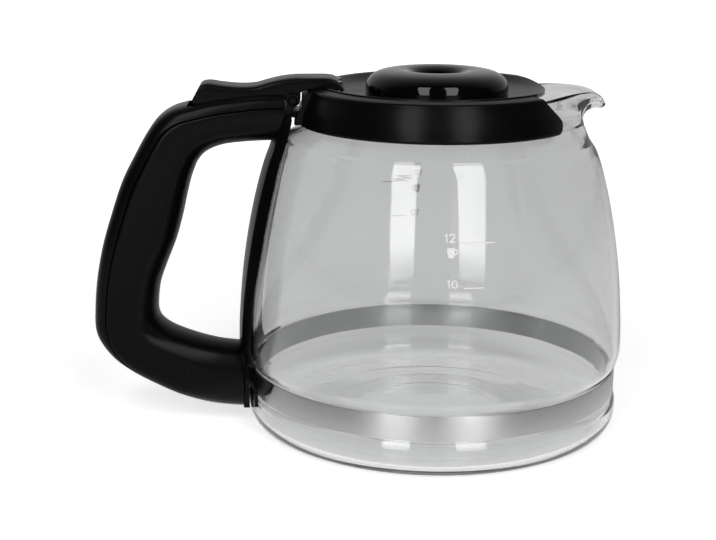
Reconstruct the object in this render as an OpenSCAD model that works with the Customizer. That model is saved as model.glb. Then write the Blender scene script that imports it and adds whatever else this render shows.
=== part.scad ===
// Coffee server carafe: a blown glass jug with a pouring lip, a C-shaped collar round its neck, a hinged
// drip-through lid that a thumb lever lifts, and a two-shell handle on a spine clamped by a steel band.
// The origin is the centre of the base, +X points to the pouring lip, -X to the handle and +Z up.

/* [Glass] */
// Widest outside diameter of the glass
glass_d = 156; // [144:1:170]
// Height of the glass rim above the base
glass_h = 136.6; // [125:0.1:155]
// Thickness of the glass wall
glass_t = 2.4; // [1.8:0.1:3]
// Thickness of the glass base
base_t = 3.2; // [2.5:0.1:4.5]
// Radius of the rounded edge between the base and the wall
foot_r = 7.5; // [5:0.5:10]
// Outside diameter of the neck under the collar
neck_d = 98.6; // [94:0.1:104]
// Height of the neck from its shoulder to the rim
neck_h = 12.5; // [11:0.1:14]
// Distance from the axis to the tip of the pouring lip
lip_reach = 68.7; // [64:0.1:74]

/* [Band] */
// Height of the steel band
band_h = 9.8; // [7:0.1:13]
// Thickness of the band
band_t = 0.6; // [0.4:0.1:1]
// Height of the band's lower edge above the base
band_z = 15.7; // [13:0.1:20]
// Depth of the groove that the band lies in, from the widest diameter
groove_depth = 2.6; // [2:0.1:3.5]
// Length of the band's ends, which run into the handle
tab_l = 13; // [11:0.5:16]

/* [Collar] */
// Height of the collar
collar_h = 14.9; // [13:0.1:17]
// How far the collar's lower edge stands out from the neck
collar_low_out = 6.6; // [5.2:0.1:8.6]
// How far the collar's upper edge stands out from the neck
collar_top_out = 2.6; // [1.7:0.1:4.6]
// How far the collar's top face stands above the glass rim
collar_rise = 2.7; // [2.2:0.1:3.5]
// Width of the collar's ledge that the lid lies on
ledge_w = 1.8; // [1.2:0.1:2.4]

/* [Lid] */
// How far the lid plate's edge stays inside the neck's outside
lid_inset = 2.4; // [2.1:0.1:4.3]
// Thickness of the lid plate
lid_t = 1.7; // [1.3:0.1:2.4]
// How far the lid's front edge lies behind the edge of its round plate
beak_cut = 3.9; // [1.9:0.1:6.9]
// Depth of the dish in the lid plate
dish_depth = 3.4; // [2.5:0.1:4]
// Width of the dished ring between the lid's edge and its dome
dish_w = 18.1; // [16:0.1:20.9]
// Height of the dome above the dish
dome_h = 9.3; // [7:0.1:12]
// Diameter of the hole that the coffee runs through
drip_d = 12; // [10:0.5:14]

/* [Lever] */
// Width of the thumb lever
lever_w = 18; // [15:0.5:20]
// Length of the lever from the hinge to its thumb end
lever_l = 40; // [34:0.5:42]
// Largest opening angle of the lid
lid_open = 20; // [15:1:20]
// Diameter of the hinge pin
pin_d = 3.2; // [2.6:0.1:4]
// Gap between parts that turn against each other
run_gap = 0.4; // [0.3:0.05:0.6]

/* [Handle] */
// How far the handle stands out beyond the widest glass
handle_reach = 63; // [58:1:72]
// Width of the handle across its side faces
handle_w = 27.4; // [26:0.1:32]
// Thickness of the spine plate behind the glass
spine_t = 2.5; // [2.3:0.1:3.2]
// Largest width of the spine plate
spine_w = 52; // [46:1:58]
// Width across the two wings that cover the band
wing_w = 77; // [72:1:90]
// Depth of the outer shell of the handle
cover_t = 5.5; // [4.5:0.1:7]
// Gap between parts that lie still beside each other
seat_gap = 0.3; // [0.2:0.05:0.4]

/* [Fasteners] */
// Diameter of the screw that closes the band
band_screw_d = 4; // [3:0.5:5]
// Diameter of the self-tapping screws
tap_screw_d = 3; // [2.5:0.5:3.5]

/* [Hidden] */

// Fineness of round shapes
$fn = 96;
// Overrun that lets a cut pass clean through a face
over = 1;

// Radii and levels that the pieces share
glass_r = glass_d / 2;
neck_r = neck_d / 2;
groove_r = glass_r - groove_depth;
band_top = band_z + band_h;
band_mid = band_z + band_h / 2;
shoulder_z = glass_h - neck_h;
collar_z = glass_h + collar_rise - collar_h;
collar_top = glass_h + collar_rise;
low_r = neck_r + collar_low_out;
top_r = neck_r + collar_top_out;
lid_r = neck_r - lid_inset;

// The wall above the band, from the groove up to the shoulder: share of that height, and share of the
// step from the neck's radius out to the widest radius
body_shares = [
    [0, 0.909], [0.04, 0.972], [0.09, 1], [0.15, 0.997], [0.255, 0.976], [0.384, 0.937], [0.512, 0.878],
    [0.641, 0.798], [0.77, 0.693], [0.893, 0.557], [0.94, 0.456], [0.975, 0.345], [0.992, 0.23], [1, 0.15]
];
// The bulge of the foot and how far it runs below and into the groove, as shares
foot_bulge_share = 0.986;
foot_run_share = 0.72;

// Smooth curves

function secant(t, i) = (t[i + 1][1] - t[i][1]) / (t[i + 1][0] - t[i][0]);
function slope(t, i) =
    i == 0 ? secant(t, 0) :
    i == len(t) - 1 ? secant(t, i - 1) :
    let (a = secant(t, i - 1), b = secant(t, i)) a * b <= 0 ? 0 : 2 * a * b / (a + b);
function span_of(t, x, i = 0) = i >= len(t) - 2 || x < t[i + 1][0] ? i : span_of(t, x, i + 1);
// Value at x of the smooth curve through the points of t, which never overshoots them
function smooth_at(t, x) =
    let (
        i = span_of(t, x),
        h = t[i + 1][0] - t[i][0],
        s = (x - t[i][0]) / h,
        a = t[i][1],
        b = t[i + 1][1],
        m = slope(t, i) * h,
        n = slope(t, i + 1) * h
    )
    a * (1 + 2 * s) * pow(1 - s, 2) + m * s * pow(1 - s, 2) + b * s * s * (3 - 2 * s) - n * s * s * (1 - s);

// Round curve through the points p, with the given number of steps from one point to the next
function round_curve(p, steps) = [
    for (i = [0 : len(p) - 2], k = [0 : steps - (i == len(p) - 2 ? 0 : 1)])
        let (
            s = k / steps,
            p0 = i == 0 ? 2 * p[0] - p[1] : p[i - 1],
            p3 = i == len(p) - 2 ? 2 * p[i + 1] - p[i] : p[i + 2]
        )
        (2 * p[i] + (p[i + 1] - p0) * s + (2 * p0 - 5 * p[i] + 4 * p[i + 1] - p3) * s * s
            + (3 * p[i] - 3 * p[i + 1] + p3 - p0) * s * s * s) / 2
];

function flip(p) = [for (i = [len(p) - 1 : -1 : 0]) p[i]];
function arc(c, r, a, b, steps) =
    [for (k = [0 : steps]) let (angle = a + (b - a) * k / steps) c + r * [cos(angle), sin(angle)]];

// Radius of the outside of the glass at height z, away from the pouring lip
wall_curve = concat(
    [
        [foot_r, glass_r * foot_bulge_share],
        [band_z * foot_run_share, glass_r * foot_bulge_share],
        [band_z, groove_r]
    ],
    [for (s = body_shares) [
        band_top + s[0] * (shoulder_z - band_top),
        s[0] == 0 ? groove_r : neck_r + s[1] * (glass_r - neck_r)
    ]]
);
function glass_at(z) = smooth_at(wall_curve, z);

// Solid skin over rings of points, closed at both ends, or joined end to start
module skin(rings, ring_shaped = false) {
    n = len(rings[0]);
    m = len(rings);
    last = ring_shaped ? m - 1 : m - 2;
    sides = [
        for (i = [0 : last], j = [0 : n - 1])
            let (a = i * n + j, b = i * n + (j + 1) % n)
            let (c = ((i + 1) % m) * n + j, d = ((i + 1) % m) * n + (j + 1) % n)
            each [[a, c, b], [b, c, d]]
    ];
    ends = ring_shaped ? [] : [[for (j = [0 : n - 1]) j], [for (j = [n - 1 : -1 : 0]) (m - 1) * n + j]];
    polyhedron([for (r = rings) each r], concat(sides, ends));
}

// Solid of revolution about the axis of the glass
module turned(points) {
    rotate_extrude() polygon(points);
}

// Upright ring with its inner radius, its thickness, and its lower and upper level
module shell(r, t, low, high) {
    rotate_extrude() translate([r, low]) square([t, high - low]);
}

// Prism with a side outline in X and Z that runs along Y, centred
module side_prism(outline, width) {
    rotate([90, 0, 0]) linear_extrude(height = width, center = true) polygon(outline);
}

// Rod along Y at a place in the side view
module cross_rod(at, d, length) {
    translate([at[0], 0, at[1]]) rotate([90, 0, 0]) cylinder(d = d, h = length, center = true);
}

// Glass vessel

// Height where the turned body ends and the shaped neck begins, as a share of the way up to the shoulder
joint_share = 0.88;
joint_z = band_top + joint_share * (shoulder_z - band_top);
// How much thinner the neck's start is than the wall it grows from, and how deep it reaches into it
graft = 0.08;
graft_l = 1;
base_flat_r = glass_r * foot_bulge_share - foot_r;
// Radii of the rings pressed into the base, as shares of its flat
base_ring_shares = [0.42, 0.58, 0.74, 0.9];
base_ring_r = 1.6;
base_ring_depth = 0.6;

// Levels between which the wall is drawn, three steps from each point of its curve to the next
wall_levels = [
    for (i = [0 : len(wall_curve) - 2], k = [0 : 2])
        let (z = wall_curve[i][0] + (wall_curve[i + 1][0] - wall_curve[i][0]) * k / 3)
        if (z < joint_z - graft_l) z
];
function wall_points(inset, from) =
    [for (z = concat(wall_levels, [joint_z - graft_l, joint_z])) if (z >= from) [glass_at(z) - inset, z]];

// Rows of the neck over its outside, its rim and its inside. Away from the pouring lip: share of the neck's
// height below the rim, and how far the row lies outside the neck's radius, in walls of the glass. On the
// middle of the lip: share of the neck's height below the rim, and share of the reach from the neck to the
// tip. Last: 0 where the row follows the broad throat, 1 where it follows the narrow beak.
outer_neck_shares = [
    [1, 1.75, 1, 0.55, 0], [0.87, 0.9, 0.85, 0.54, 0.3], [0.7, 0.28, 0.72, 0.56, 0.56],
    [0.5, 0.08, 0.59, 0.635, 0.82], [0.22, 0.02, 0.51, 0.77, 1], [0.07, -0.1, 0.5, 0.93, 1]
];
rim_neck_shares = [[0, -0.5, 0.41, 1, 1], [0.07, -0.9, 0.33, 0.95, 1]];
inner_neck_shares = [
    [0.25, -1.02, 0.27, 0.77, 1], [0.5, -1, 0.36, 0.56, 0.86], [0.72, -0.85, 0.56, 0.45, 0.6],
    [0.9, -0.35, 0.8, 0.42, 0.27], [1.06, 0.6, 1, 0.425, 0]
];
// Half of the angle over which the lip opens, how sharp its beak and its throat are, how rounded the beak is,
// and how short the part of the beak that droops is
lip_half = 38;
beak_power = 2;
throat_power = 3;
beak_round_share = 0.04;
droop_power = 8;
// How far the rim rises on the way to the tip before it droops
lip_rise = 1.5;

// Weights of the lip round the neck: a broad one for the throat, a narrow one for the beak
function throat_weight(a) = abs(a) >= lip_half ? 0 : pow(cos(90 * a / lip_half), throat_power);
function beak_weight(a) =
    abs(a) >= lip_half ? 0 : pow(1 + beak_round_share - norm([a / lip_half, beak_round_share]), beak_power);

// Point of one row of the neck at the angle a
function neck_point(s, a) =
    let (
        w = throat_weight(a) * (1 - s[4]) + beak_weight(a) * s[4],
        v = throat_weight(a) * (1 - s[4]) + pow(beak_weight(a), droop_power) * s[4],
        r = neck_r + s[1] * glass_t,
        z = glass_h - s[0] * neck_h,
        lip_r = neck_r + s[3] * (lip_reach - neck_r),
        lip_z = glass_h - s[2] * neck_h,
        reach = r + w * (lip_r - r)
    )
    [reach * cos(a), reach * sin(a), z + v * (lip_z - z) + s[4] * lip_rise * 4 * w * (1 - w)];

function wall_point(z, inset, a) = (glass_at(z) - inset) * [cos(a), sin(a), 0] + [0, 0, z];

module neck() {
    // Closer steps round the lip than round the back
    angles = concat([for (a = [-44 : 4 : 44]) a], [for (k = [1 : 53]) 44 + 272 * k / 54]);
    rows = concat(outer_neck_shares, rim_neck_shares, inner_neck_shares);
    rise = shoulder_z - joint_z;
    lines = [
        for (a = angles)
            concat(
                [wall_point(joint_z - graft_l, graft, a), wall_point(joint_z, graft, a)],
                [for (k = [1 : 3]) wall_point(joint_z + rise * k / 4, 0, a)],
                round_curve([for (s = rows) neck_point(s, a)], 2),
                [for (k = [3 : -1 : 1]) wall_point(joint_z + rise * k / 4, glass_t, a)],
                [wall_point(joint_z, glass_t - graft, a), wall_point(joint_z - graft_l, glass_t - graft, a)]
            )
    ];
    skin([for (i = [0 : len(lines[0]) - 1]) [for (line = lines) line[i]]], true);
}

module glass_vessel() {
    color([0.78, 0.8, 0.8, 0.4]) union() {
        difference() {
            turned(concat(
                [[0, 0]],
                arc([base_flat_r, foot_r], foot_r, -90, 0, 8),
                wall_points(0, foot_r),
                flip(wall_points(glass_t, foot_r + base_t)),
                arc([base_flat_r - base_t, foot_r + base_t / 2], foot_r - base_t / 2, -10, -90, 6),
                [[0, base_t]]
            ));
            for (s = base_ring_shares)
                rotate_extrude() translate([base_flat_r * s, base_ring_depth - base_ring_r])
                    circle(r = base_ring_r);
        }
        neck();
    }
}

// Steel band

// Film between pieces that press on each other
film = 0.1;
band_in_r = groove_r + film;
band_out_r = band_in_r + band_t;
// Half of the slit between the band's two ends
tab_slit = 1.2;
// Distance from the screw to the outer end of the band's tabs
band_screw_inset = 4;
band_screw_x = -(band_in_r + tab_l - band_screw_inset);

module band_screw_axis(d, from, to) {
    translate([band_screw_x, to, band_mid]) rotate([90, 0, 0]) cylinder(d = d, h = to - from);
}

module steel_band() {
    color([0.75, 0.76, 0.77]) {
        difference() {
            shell(band_in_r, band_t, band_z, band_top);
            translate([-2 * band_out_r, -tab_slit, 0]) cube([2 * band_out_r, 2 * tab_slit, glass_h]);
        }
        for (side = [0, 1]) mirror([0, side, 0]) difference() {
            translate([-band_in_r - tab_l, tab_slit, band_z]) cube([tab_l - band_t / 2, band_t, band_h]);
            band_screw_axis(band_screw_d + 2 * film, 0, band_out_r);
        }
    }
}

// Screw and nut that pull the band's ends together

// Head of a pan-head screw, its flat top, its cross recess and a nut, as shares of the screw's diameter
pan_share = 1.9;
pan_top_share = 1.33;
pan_h_share = 0.55;
recess_share = 0.42;
recess_floor_share = 0.22;
nut_share = 1.75;
nut_h_share = 0.8;
// Where the screw's head and the nut sit beside the middle of the handle
screw_head_y = 6.5;
nut_y = -3.4;
nut_w = band_screw_d * nut_share;
nut_h = band_screw_d * nut_h_share;

// Pan-head screw along +Z with its head above the origin and a cross recess
module pan_screw(d, length) {
    difference() {
        union() {
            translate([0, 0, -length]) cylinder(d = d, h = length);
            cylinder(d = d * pan_share, h = d * pan_h_share / 2);
            translate([0, 0, d * pan_h_share / 2])
                cylinder(d1 = d * pan_share, d2 = d * pan_top_share, h = d * pan_h_share / 2);
        }
        for (turn = [0, 90]) rotate([0, 0, turn])
            translate([-d * recess_share, -d * recess_share / 4, d * recess_floor_share])
                cube([2 * d * recess_share, d * recess_share / 2, d]);
    }
}

module band_screw() {
    color([0.6, 0.61, 0.63])
        translate([band_screw_x, screw_head_y, band_mid]) rotate([-90, 0, 0])
            pan_screw(band_screw_d, screw_head_y - nut_y + nut_h + over);
}

module band_nut() {
    color([0.6, 0.61, 0.63]) difference() {
        translate([band_screw_x - nut_w / 2, nut_y - nut_h, band_mid - nut_w / 2])
            cube([nut_w, nut_h, nut_w]);
        band_screw_axis(band_screw_d, nut_y - nut_h - over, nut_y + over);
    }
}

// Hinge of the lid

// How far the hinge lies behind the collar and below the collar's top
hinge_back = 2;
hinge_drop = 4.7;
hinge = [-low_r - hinge_back, collar_top - hinge_drop];
// Radius and thickness of the ears, radius of the lever's knuckle
ear_r = 2.6;
ear_t = 3;
knuckle_r = 3;
ear_y = lever_w / 2 + run_gap;
// Clearance of the lever's bore round the pin
pin_gap = 0.05;
// Heads of the pin: height, and their widest and narrowest shares of its diameter
pin_head_h = 0.7;
pin_head_share = 1.25;
pin_tip_share = 0.8;

// Place of a point of the lever when the lid is fully open
function pressed(p) =
    let (d = p - hinge)
    hinge + [d[0] * cos(lid_open) - d[1] * sin(lid_open), d[0] * sin(lid_open) + d[1] * cos(lid_open)];

module hinge_pin() {
    length = 2 * (ear_y + ear_t);
    color([0.55, 0.56, 0.58]) {
        cross_rod(hinge, pin_d, length);
        for (side = [0, 1]) mirror([0, side, 0])
            translate([hinge[0], -length / 2, hinge[1]]) rotate([90, 0, 0])
                cylinder(d1 = pin_d * pin_head_share, d2 = pin_d * pin_tip_share, h = pin_head_h);
    }
}

// Tongue of the collar, which hooks over the spine between its ears
tongue_w = 14;
tongue_t = 2.6;
// Room under the lever's knuckle, and length and thickness of the hook at the tongue's end
knuckle_room = 1.8;
hook_l = 3.2;
hook_t = 1;
tongue_z = hinge[1] - knuckle_r - knuckle_room - tongue_t;
hook_z = tongue_z - hook_l;

// Spine that carries the handle

// Level where the spine leaves the glass, below the rim, and the plate's top, below the hinge
lean_drop = 23;
head_drop = 5.6;
// How far behind the hinge the plate's top lies
head_back = 2.4;
lean_z = glass_h - lean_drop;
spine_top = hinge[1] - head_drop;
spine_head_r = -hinge[0] + head_back;
// Lower end of the foot and of the plate, and half the width of the foot
spine_low = 6;
spine_plate_low = 18;
foot_half = 11;
spine_foot_r = glass_r * foot_bulge_share + seat_gap;
// Half widths of the spine from its plate's lower edge up to its top: share of that height, share of the
// widest half
spine_shares = [
    [0, 0.78], [0.15, 0.84], [0.3, 0.84], [0.42, 0.93], [0.54, 0.98], [0.64, 0.97], [0.75, 0.925], [0.818, 0.86],
    [0.893, 0.8], [0.933, 0.775], [0.971, 0.73], [0.986, 0.69], [1, 0.6]
];
// Share of the half width that the sloping side edge takes
bevel_share = 0.24;

function spine_in_at(z) =
    z < spine_plate_low ? spine_foot_r :
    z < band_top + over ? band_out_r + seat_gap :
    z < lean_z ? glass_at(z) + seat_gap :
    let (r = glass_at(lean_z) + seat_gap)
    let (lean = spine_head_r + (r - spine_head_r) * (spine_top - z) / (spine_top - lean_z))
    max(glass_at(min(z, shoulder_z)) + seat_gap, lean);
function spine_out_at(z) = spine_t + max(spine_in_at(z), z < band_top + 2 * over ? spine_foot_r : 0);
function spine_half_at(z) = z < spine_plate_low ? foot_half :
    smooth_at([
        for (s = spine_shares) [spine_plate_low + s[0] * (spine_top - spine_plate_low), s[1] * spine_w / 2]
    ], z);

function spine_ring(z) =
    let (
        ri = spine_in_at(z),
        ro = spine_out_at(z),
        w = spine_half_at(z),
        ai = asin(w / ri),
        ao = asin((w - (w - ear_y - ear_t) * 2 * bevel_share - ear_t / 4) / ro),
        n = 8
    )
    concat(
        [for (k = [0 : n]) let (a = 180 - ao + 2 * ao * k / n) [ro * cos(a), ro * sin(a), z]],
        [for (k = [0 : n]) let (a = 180 + ai - 2 * ai * k / n) [ri * cos(a), ri * sin(a), z]]
    );

// Prism with an outline in Y and Z that runs along X behind the glass
module back_prism(outline) {
    translate([-2 * glass_r, 0, 0]) rotate([90, 0, 90]) linear_extrude(height = 2 * glass_r) polygon(outline);
}

// Wings that cover the band on both sides, and the prongs that reach below it
// Thickness of the wings, their lower level, how far their edges stand beyond the band, how much their ends
// slant, and the width, the place and the lower level of the prongs
wing_t = 1.2;
wing_low = 19.6;
wing_edge = 0.6;
wing_slant = 4.3;
prong_w = 2;
prong_y = 25.6;
prong_low = 11.7;

// Side outline of an ear: its root runs down on the plate as deep as the tongue's slot
function ear_outline() = [
    hinge + [-ear_r, 0],
    hinge + [ear_r, 0],
    hinge + [cos(35), -sin(35)] * ear_r,
    [-spine_in_at(spine_top) + over / 2, spine_top],
    [-spine_in_at(spine_top) + over / 2, tongue_z - ear_t],
    [-spine_out_at(spine_top) + 2 * over, tongue_z - ear_t],
    [-spine_out_at(spine_top) + 2 * over, spine_top],
    hinge + [-ear_r, -ear_r]
];

// Far end of the collar's tongue, behind the spine
tongue_end_x = -spine_out_at(hook_z) - seat_gap - hook_t;

module handle_spine() {
    heights = concat(
        [spine_low, spine_plate_low - film, spine_plate_low, band_mid, band_top, band_top + over / 2],
        [for (z = wall_levels) if (z > band_top + over && z < lean_z) z],
        [lean_z],
        [for (k = [1 : 10]) lean_z + (spine_top - lean_z) * k / 10]
    );
    wing = [
        [foot_half, band_top + wing_edge], [wing_w / 2, band_top + wing_edge],
        [wing_w / 2 - wing_slant, wing_low],
        [spine_w / 2, wing_low + wing_edge], [foot_half, wing_low + wing_edge]
    ];
    prong = [
        [prong_y - prong_w / 2, wing_low + over], [prong_y - prong_w / 2, prong_low + prong_w / 4],
        [prong_y - prong_w / 4, prong_low], [prong_y + prong_w / 4, prong_low],
        [prong_y + prong_w / 2, prong_low + prong_w / 4], [prong_y + prong_w / 2, wing_low + over]
    ];
    color([0.07, 0.07, 0.075]) difference() {
        union() {
            skin([for (z = heights) spine_ring(z)]);
            for (side = [0, 1]) mirror([0, side, 0]) {
                intersection() {
                    shell(band_out_r + seat_gap + film, wing_t, wing_low, band_top + wing_edge);
                    back_prism(wing);
                }
                intersection() {
                    shell(spine_foot_r, wing_t, prong_low, wing_low + over);
                    back_prism(prong);
                }
                translate([0, ear_y + ear_t / 2, 0]) {
                    side_prism(ear_outline(), ear_t);
                    cross_rod(hinge, 2 * ear_r, ear_t);
                }
            }
        }
        cross_rod(hinge, pin_d, 4 * ear_y);
        // Room between the ears for the lever and for the collar's tongue
        translate([-glass_r, -ear_y + film, tongue_z - seat_gap])
            cube([glass_r, 2 * (ear_y - film), glass_h]);
        // Slot for the band's ends
        translate([-glass_r - 2 * spine_t, -tab_slit - band_t - seat_gap, band_z - seat_gap])
            cube([4 * spine_t, 2 * (tab_slit + band_t + seat_gap), band_h + 2 * seat_gap]);
        for (place = grip_screw_places) grip_screw_place(place) {
            translate([0, 0, -2 * spine_t]) cylinder(d = tap_screw_d + 2 * film, h = 4 * spine_t);
            cylinder(d = tap_screw_d * pan_share + 2 * film, h = 4 * spine_t);
        }
    }
}

// Self-tapping screws that hold the handle to the spine, driven from the glass side. Each place has the
// height, the inner radius of the spine there, how deep the head sits in it, and how much the screw tilts.
tap_l = 8;
lean_angle = atan((spine_in_at(lean_z + over) - spine_head_r) / (spine_top - lean_z - over));
// How far the upper screw lies below the rim, and how much more its head stands in on the leaning plate
top_screw_drop = 17.6;
top_screw_share = 0.85;
top_screw_z = glass_h - top_screw_drop;
grip_screw_places = [
    [spine_low + tap_screw_d * pan_share / 2 + seat_gap, spine_foot_r, tap_screw_d * pan_h_share, 0],
    [top_screw_z, spine_in_at(top_screw_z), tap_screw_d * pan_h_share * top_screw_share, lean_angle]
];

module grip_screw_place(place) {
    translate([-place[1], 0, place[0]]) rotate([0, 90 + place[3], 0]) translate([0, 0, -place[2]]) children();
}

module grip_screws() {
    color([0.6, 0.61, 0.63]) for (place = grip_screw_places)
        grip_screw_place(place) pan_screw(tap_screw_d, tap_l);
}

// Handle

handle_top = hinge[1] + ear_r;
head_r = norm([hinge[0] - ear_r - seat_gap, handle_w / 2]);
// How far the body stands out beyond the outer shell on each side
body_swell = 0.5;

// Stations of the handle from the hinge round to the foot: reach and height of the outer edge, reach and
// height of the inner edge, and half width, as shares of the handle's reach, its top and its half width
handle_shares = [
    [-0.32, 1, -0.32, 0.857, 1], [-0.127, 0.9985, -0.143, 0.855, 1], [0.032, 0.991, 0.008, 0.851, 1],
    [0.19, 0.981, 0.133, 0.843, 1], [0.333, 0.966, 0.232, 0.824, 1], [0.452, 0.95, 0.289, 0.797, 1.01],
    [0.543, 0.921, 0.321, 0.765, 1.02], [0.616, 0.876, 0.343, 0.736, 1.03], [0.693, 0.813, 0.371, 0.685, 1.04],
    [0.776, 0.738, 0.4, 0.627, 1.05], [0.851, 0.641, 0.444, 0.557, 1.05], [0.916, 0.543, 0.508, 0.483, 1.05],
    [0.961, 0.441, 0.555, 0.423, 1.04], [0.982, 0.343, 0.574, 0.363, 1.02], [0.981, 0.281, 0.572, 0.328, 1],
    [0.94, 0.234, 0.544, 0.303, 0.98], [0.858, 0.186, 0.481, 0.282, 0.96], [0.744, 0.146, 0.395, 0.265, 0.94],
    [0.587, 0.105, 0.302, 0.251, 0.92], [0.419, 0.069, 0.214, 0.241, 0.9], [0.206, 0.042, 0.127, 0.234, 0.89],
    [-0.06, 0.03, -0.06, 0.226, 0.88]
];
// Station where the outer shell ends, its share of the depth there, and how square the handle's outer and
// inner edges are
cover_stations = 17;
cover_end_share = 0.3;
outer_power = 4;
foot_power = 2.5;
inner_power = 2.4;

function handle_at(reach, height) = [-(glass_r + handle_reach * reach), handle_top * height];
function blunt(v, p) = sign(v) * pow(abs(v), 2 / p);

// Ring between an outer and an inner point of the side view, rounded across its width
function loft_ring(outer, inner, half, po, pi, n) = [
    for (k = [0 : n - 1])
        let (
            a = 360 * (k + 0.5) / n,
            p = cos(a) > 0 ? po : pi,
            m = (outer + inner) / 2 + (outer - inner) / 2 * blunt(cos(a), p)
        )
        [m[0], half * blunt(sin(a), p), m[1]]
];

outer_line = round_curve([for (s = handle_shares) handle_at(s[0], s[1])], 2);
inner_line = round_curve([for (s = handle_shares) handle_at(s[2], s[3])], 2);
half_line = round_curve([for (s = handle_shares) [s[4] * handle_w / 2, 0]], 2);

module handle_form(swell) {
    last = len(outer_line) - 1;
    skin([
        for (i = [0 : last])
            let (t = max(0, i / last - 0.5) * 2)
            loft_ring(
                outer_line[i], inner_line[i], half_line[i][0] + swell,
                outer_power + (foot_power - outer_power) * t, inner_power, 24
            )
    ]);
}

// Part of the side view that belongs to the outer shell, with its inner edge moved in by the given gap
module cover_zone(gap) {
    steps = 2 * cover_stations;
    seam = [
        for (i = [0 : steps])
            let (
                d = inner_line[i] - outer_line[i],
                fade = min(1, cover_end_share + (steps - i) / 8)
            )
            outer_line[i] + d / norm(d) * (cover_t * fade + gap)
    ];
    rim = [
        for (i = [0 : steps]) let (d = outer_line[i] - inner_line[i]) outer_line[i] + d / norm(d) * cover_t
    ];
    side_prism(concat(rim, flip(seam)), 2 * handle_w);
}

// Space that the handle leaves for the spine and the hinge
module spine_space() {
    turned(concat(
        [[0, -over]],
        [for (k = [0 : 10]) let (z = -over + (lean_z + over) * k / 10) [spine_out_at(z) + film, z]],
        [for (k = [1 : 4]) let (z = lean_z + (spine_top - lean_z) * k / 4) [spine_out_at(z) + film, z]],
        [[head_r, spine_top], [head_r, handle_top + glass_h / 2], [0, handle_top + glass_h / 2]]
    ));
}

// Trough between the arm's two rails, which the lever sinks into
trough_gap = 1.2;

// Stations of the lever: the top and the underside as points of the side view, from its lid end to its
// thumb end, as shares of the lever's length behind the hinge and of its height over the hinge
lever_depth = 8.5;
lever_rise_shares = [
    [-0.515, 0.46, -0.51, 0.41], [-0.46, 0.8, -0.46, 0.41], [-0.4, 0.96, -0.4, 0.41], [-0.32, 1.01, -0.32, 0.41],
    [-0.185, 1.01, -0.13, 0.41], [-0.1, 1.01, -0.075, 0.3], [0, 1, 0, 0], [0.13, 0.92, 0.14, -0.07],
    [0.265, 0.765, 0.265, -0.21], [0.38, 0.62, 0.38, -0.31], [0.53, 0.585, 0.53, -0.35], [0.705, 0.655, 0.73, -0.35],
    [0.82, 0.735, 0.885, -0.33], [0.89, 0.71, 0.985, -0.28], [0.925, 0.62, 1.02, -0.2]
];
lever_power = 5.5;
lever_lines = [
    for (s = lever_rise_shares) [
        hinge + [-s[0] * lever_l, s[1] * lever_depth],
        hinge + [-s[2] * lever_l, s[3] * lever_depth]
    ]
];
lever_tail = lever_lines[0][1];

module trough() {
    under = [for (i = [9 : len(lever_lines) - 1]) pressed(lever_lines[i][1]) - [0, trough_gap]];
    end_x = lever_lines[len(lever_lines) - 1][1][0] - trough_gap;
    side_prism(concat(
        [[hinge[0] + ear_r, tongue_z], [tongue_end_x - seat_gap, tongue_z]],
        under,
        [[end_x, under[len(under) - 1][1]], [end_x, 2 * handle_top], [hinge[0] + ear_r, 2 * handle_top]]
    ), lever_w + 2 * run_gap);
}

module handle_body() {
    color([0.06, 0.06, 0.065]) difference() {
        handle_form(body_swell);
        cover_zone(seat_gap);
        spine_space();
        trough();
        // Slot for the band's ends, bore for its screw, and pocket for its nut
        translate([-band_in_r - tab_l - over, -tab_slit - band_t - seat_gap, band_z - seat_gap])
            cube([tab_l, 2 * (tab_slit + band_t + seat_gap), band_h + 2 * seat_gap]);
        band_screw_axis(band_screw_d + 2 * film, -screw_head_y - 2 * over, handle_w);
        band_screw_axis(band_screw_d * pan_share + 2 * seat_gap, screw_head_y, handle_w);
        translate([band_screw_x - nut_w / 2 - film, nut_y - nut_h - film, band_mid - nut_w / 2 - film])
            cube([tab_l, nut_h + 2 * film, nut_w + 2 * film]);
        for (place = grip_screw_places) grip_screw_place(place)
            translate([0, 0, -tap_l - over]) cylinder(d = tap_screw_d, h = tap_l + over);
        side_prism([
            [tongue_end_x - seat_gap, tongue_z + over], [tongue_end_x - seat_gap, hook_z - seat_gap],
            [hinge[0], hook_z - seat_gap], [hinge[0], tongue_z + over]
        ], tongue_w + 2 * seat_gap);
    }
}

module handle_cover() {
    color([0.09, 0.09, 0.095]) difference() {
        intersection() {
            handle_form(0);
            cover_zone(0);
        }
        spine_space();
        trough();
    }
}

// Neck collar

// Gap round the lid, gap between collar and glass, depth of the ledge, and how high the lid rides on it
lid_gap = 0.7;
collar_gap = 0.5;
ledge_depth = 1.3;
lid_ride = 0.2;
flange_r = lid_r + lid_gap;
ledge_r = flange_r - ledge_w;
ledge_z = collar_top - ledge_depth;
lid_seat_z = ledge_z + lid_ride;
// Angle of the radius that the collar's ends lie on, and the line of an end: angle of its point on the rim,
// share of the collar's height
collar_end_angle = 38;
collar_end_shares = [
    [43, 1.1], [42.6, 0.97], [38.1, 0.66], [33.4, 0.36], [33, 0.26], [33.3, 0.17], [34.2, 0.09], [35.8, 0.03],
    [38.5, -0.1]
];
// Sloping edge round the collar's top, the small edge round its foot, and the outline of its side between
// them: share of the step from the upper to the lower radius, share of its height
collar_edge = 1.4;
collar_foot_edge = 0.5;
collar_side_shares = [[1, 0.04], [0.725, 0.4], [0.125, 0.78]];
// Back of the block behind the collar: its upper part clears the lever's knuckle, its foot the spine, and how
// far the block rises above the hinge
block_x = hinge[0] + knuckle_r + run_gap;
block_low_x = hinge[0] + seat_gap;
block_rise = 1.6;

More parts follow.
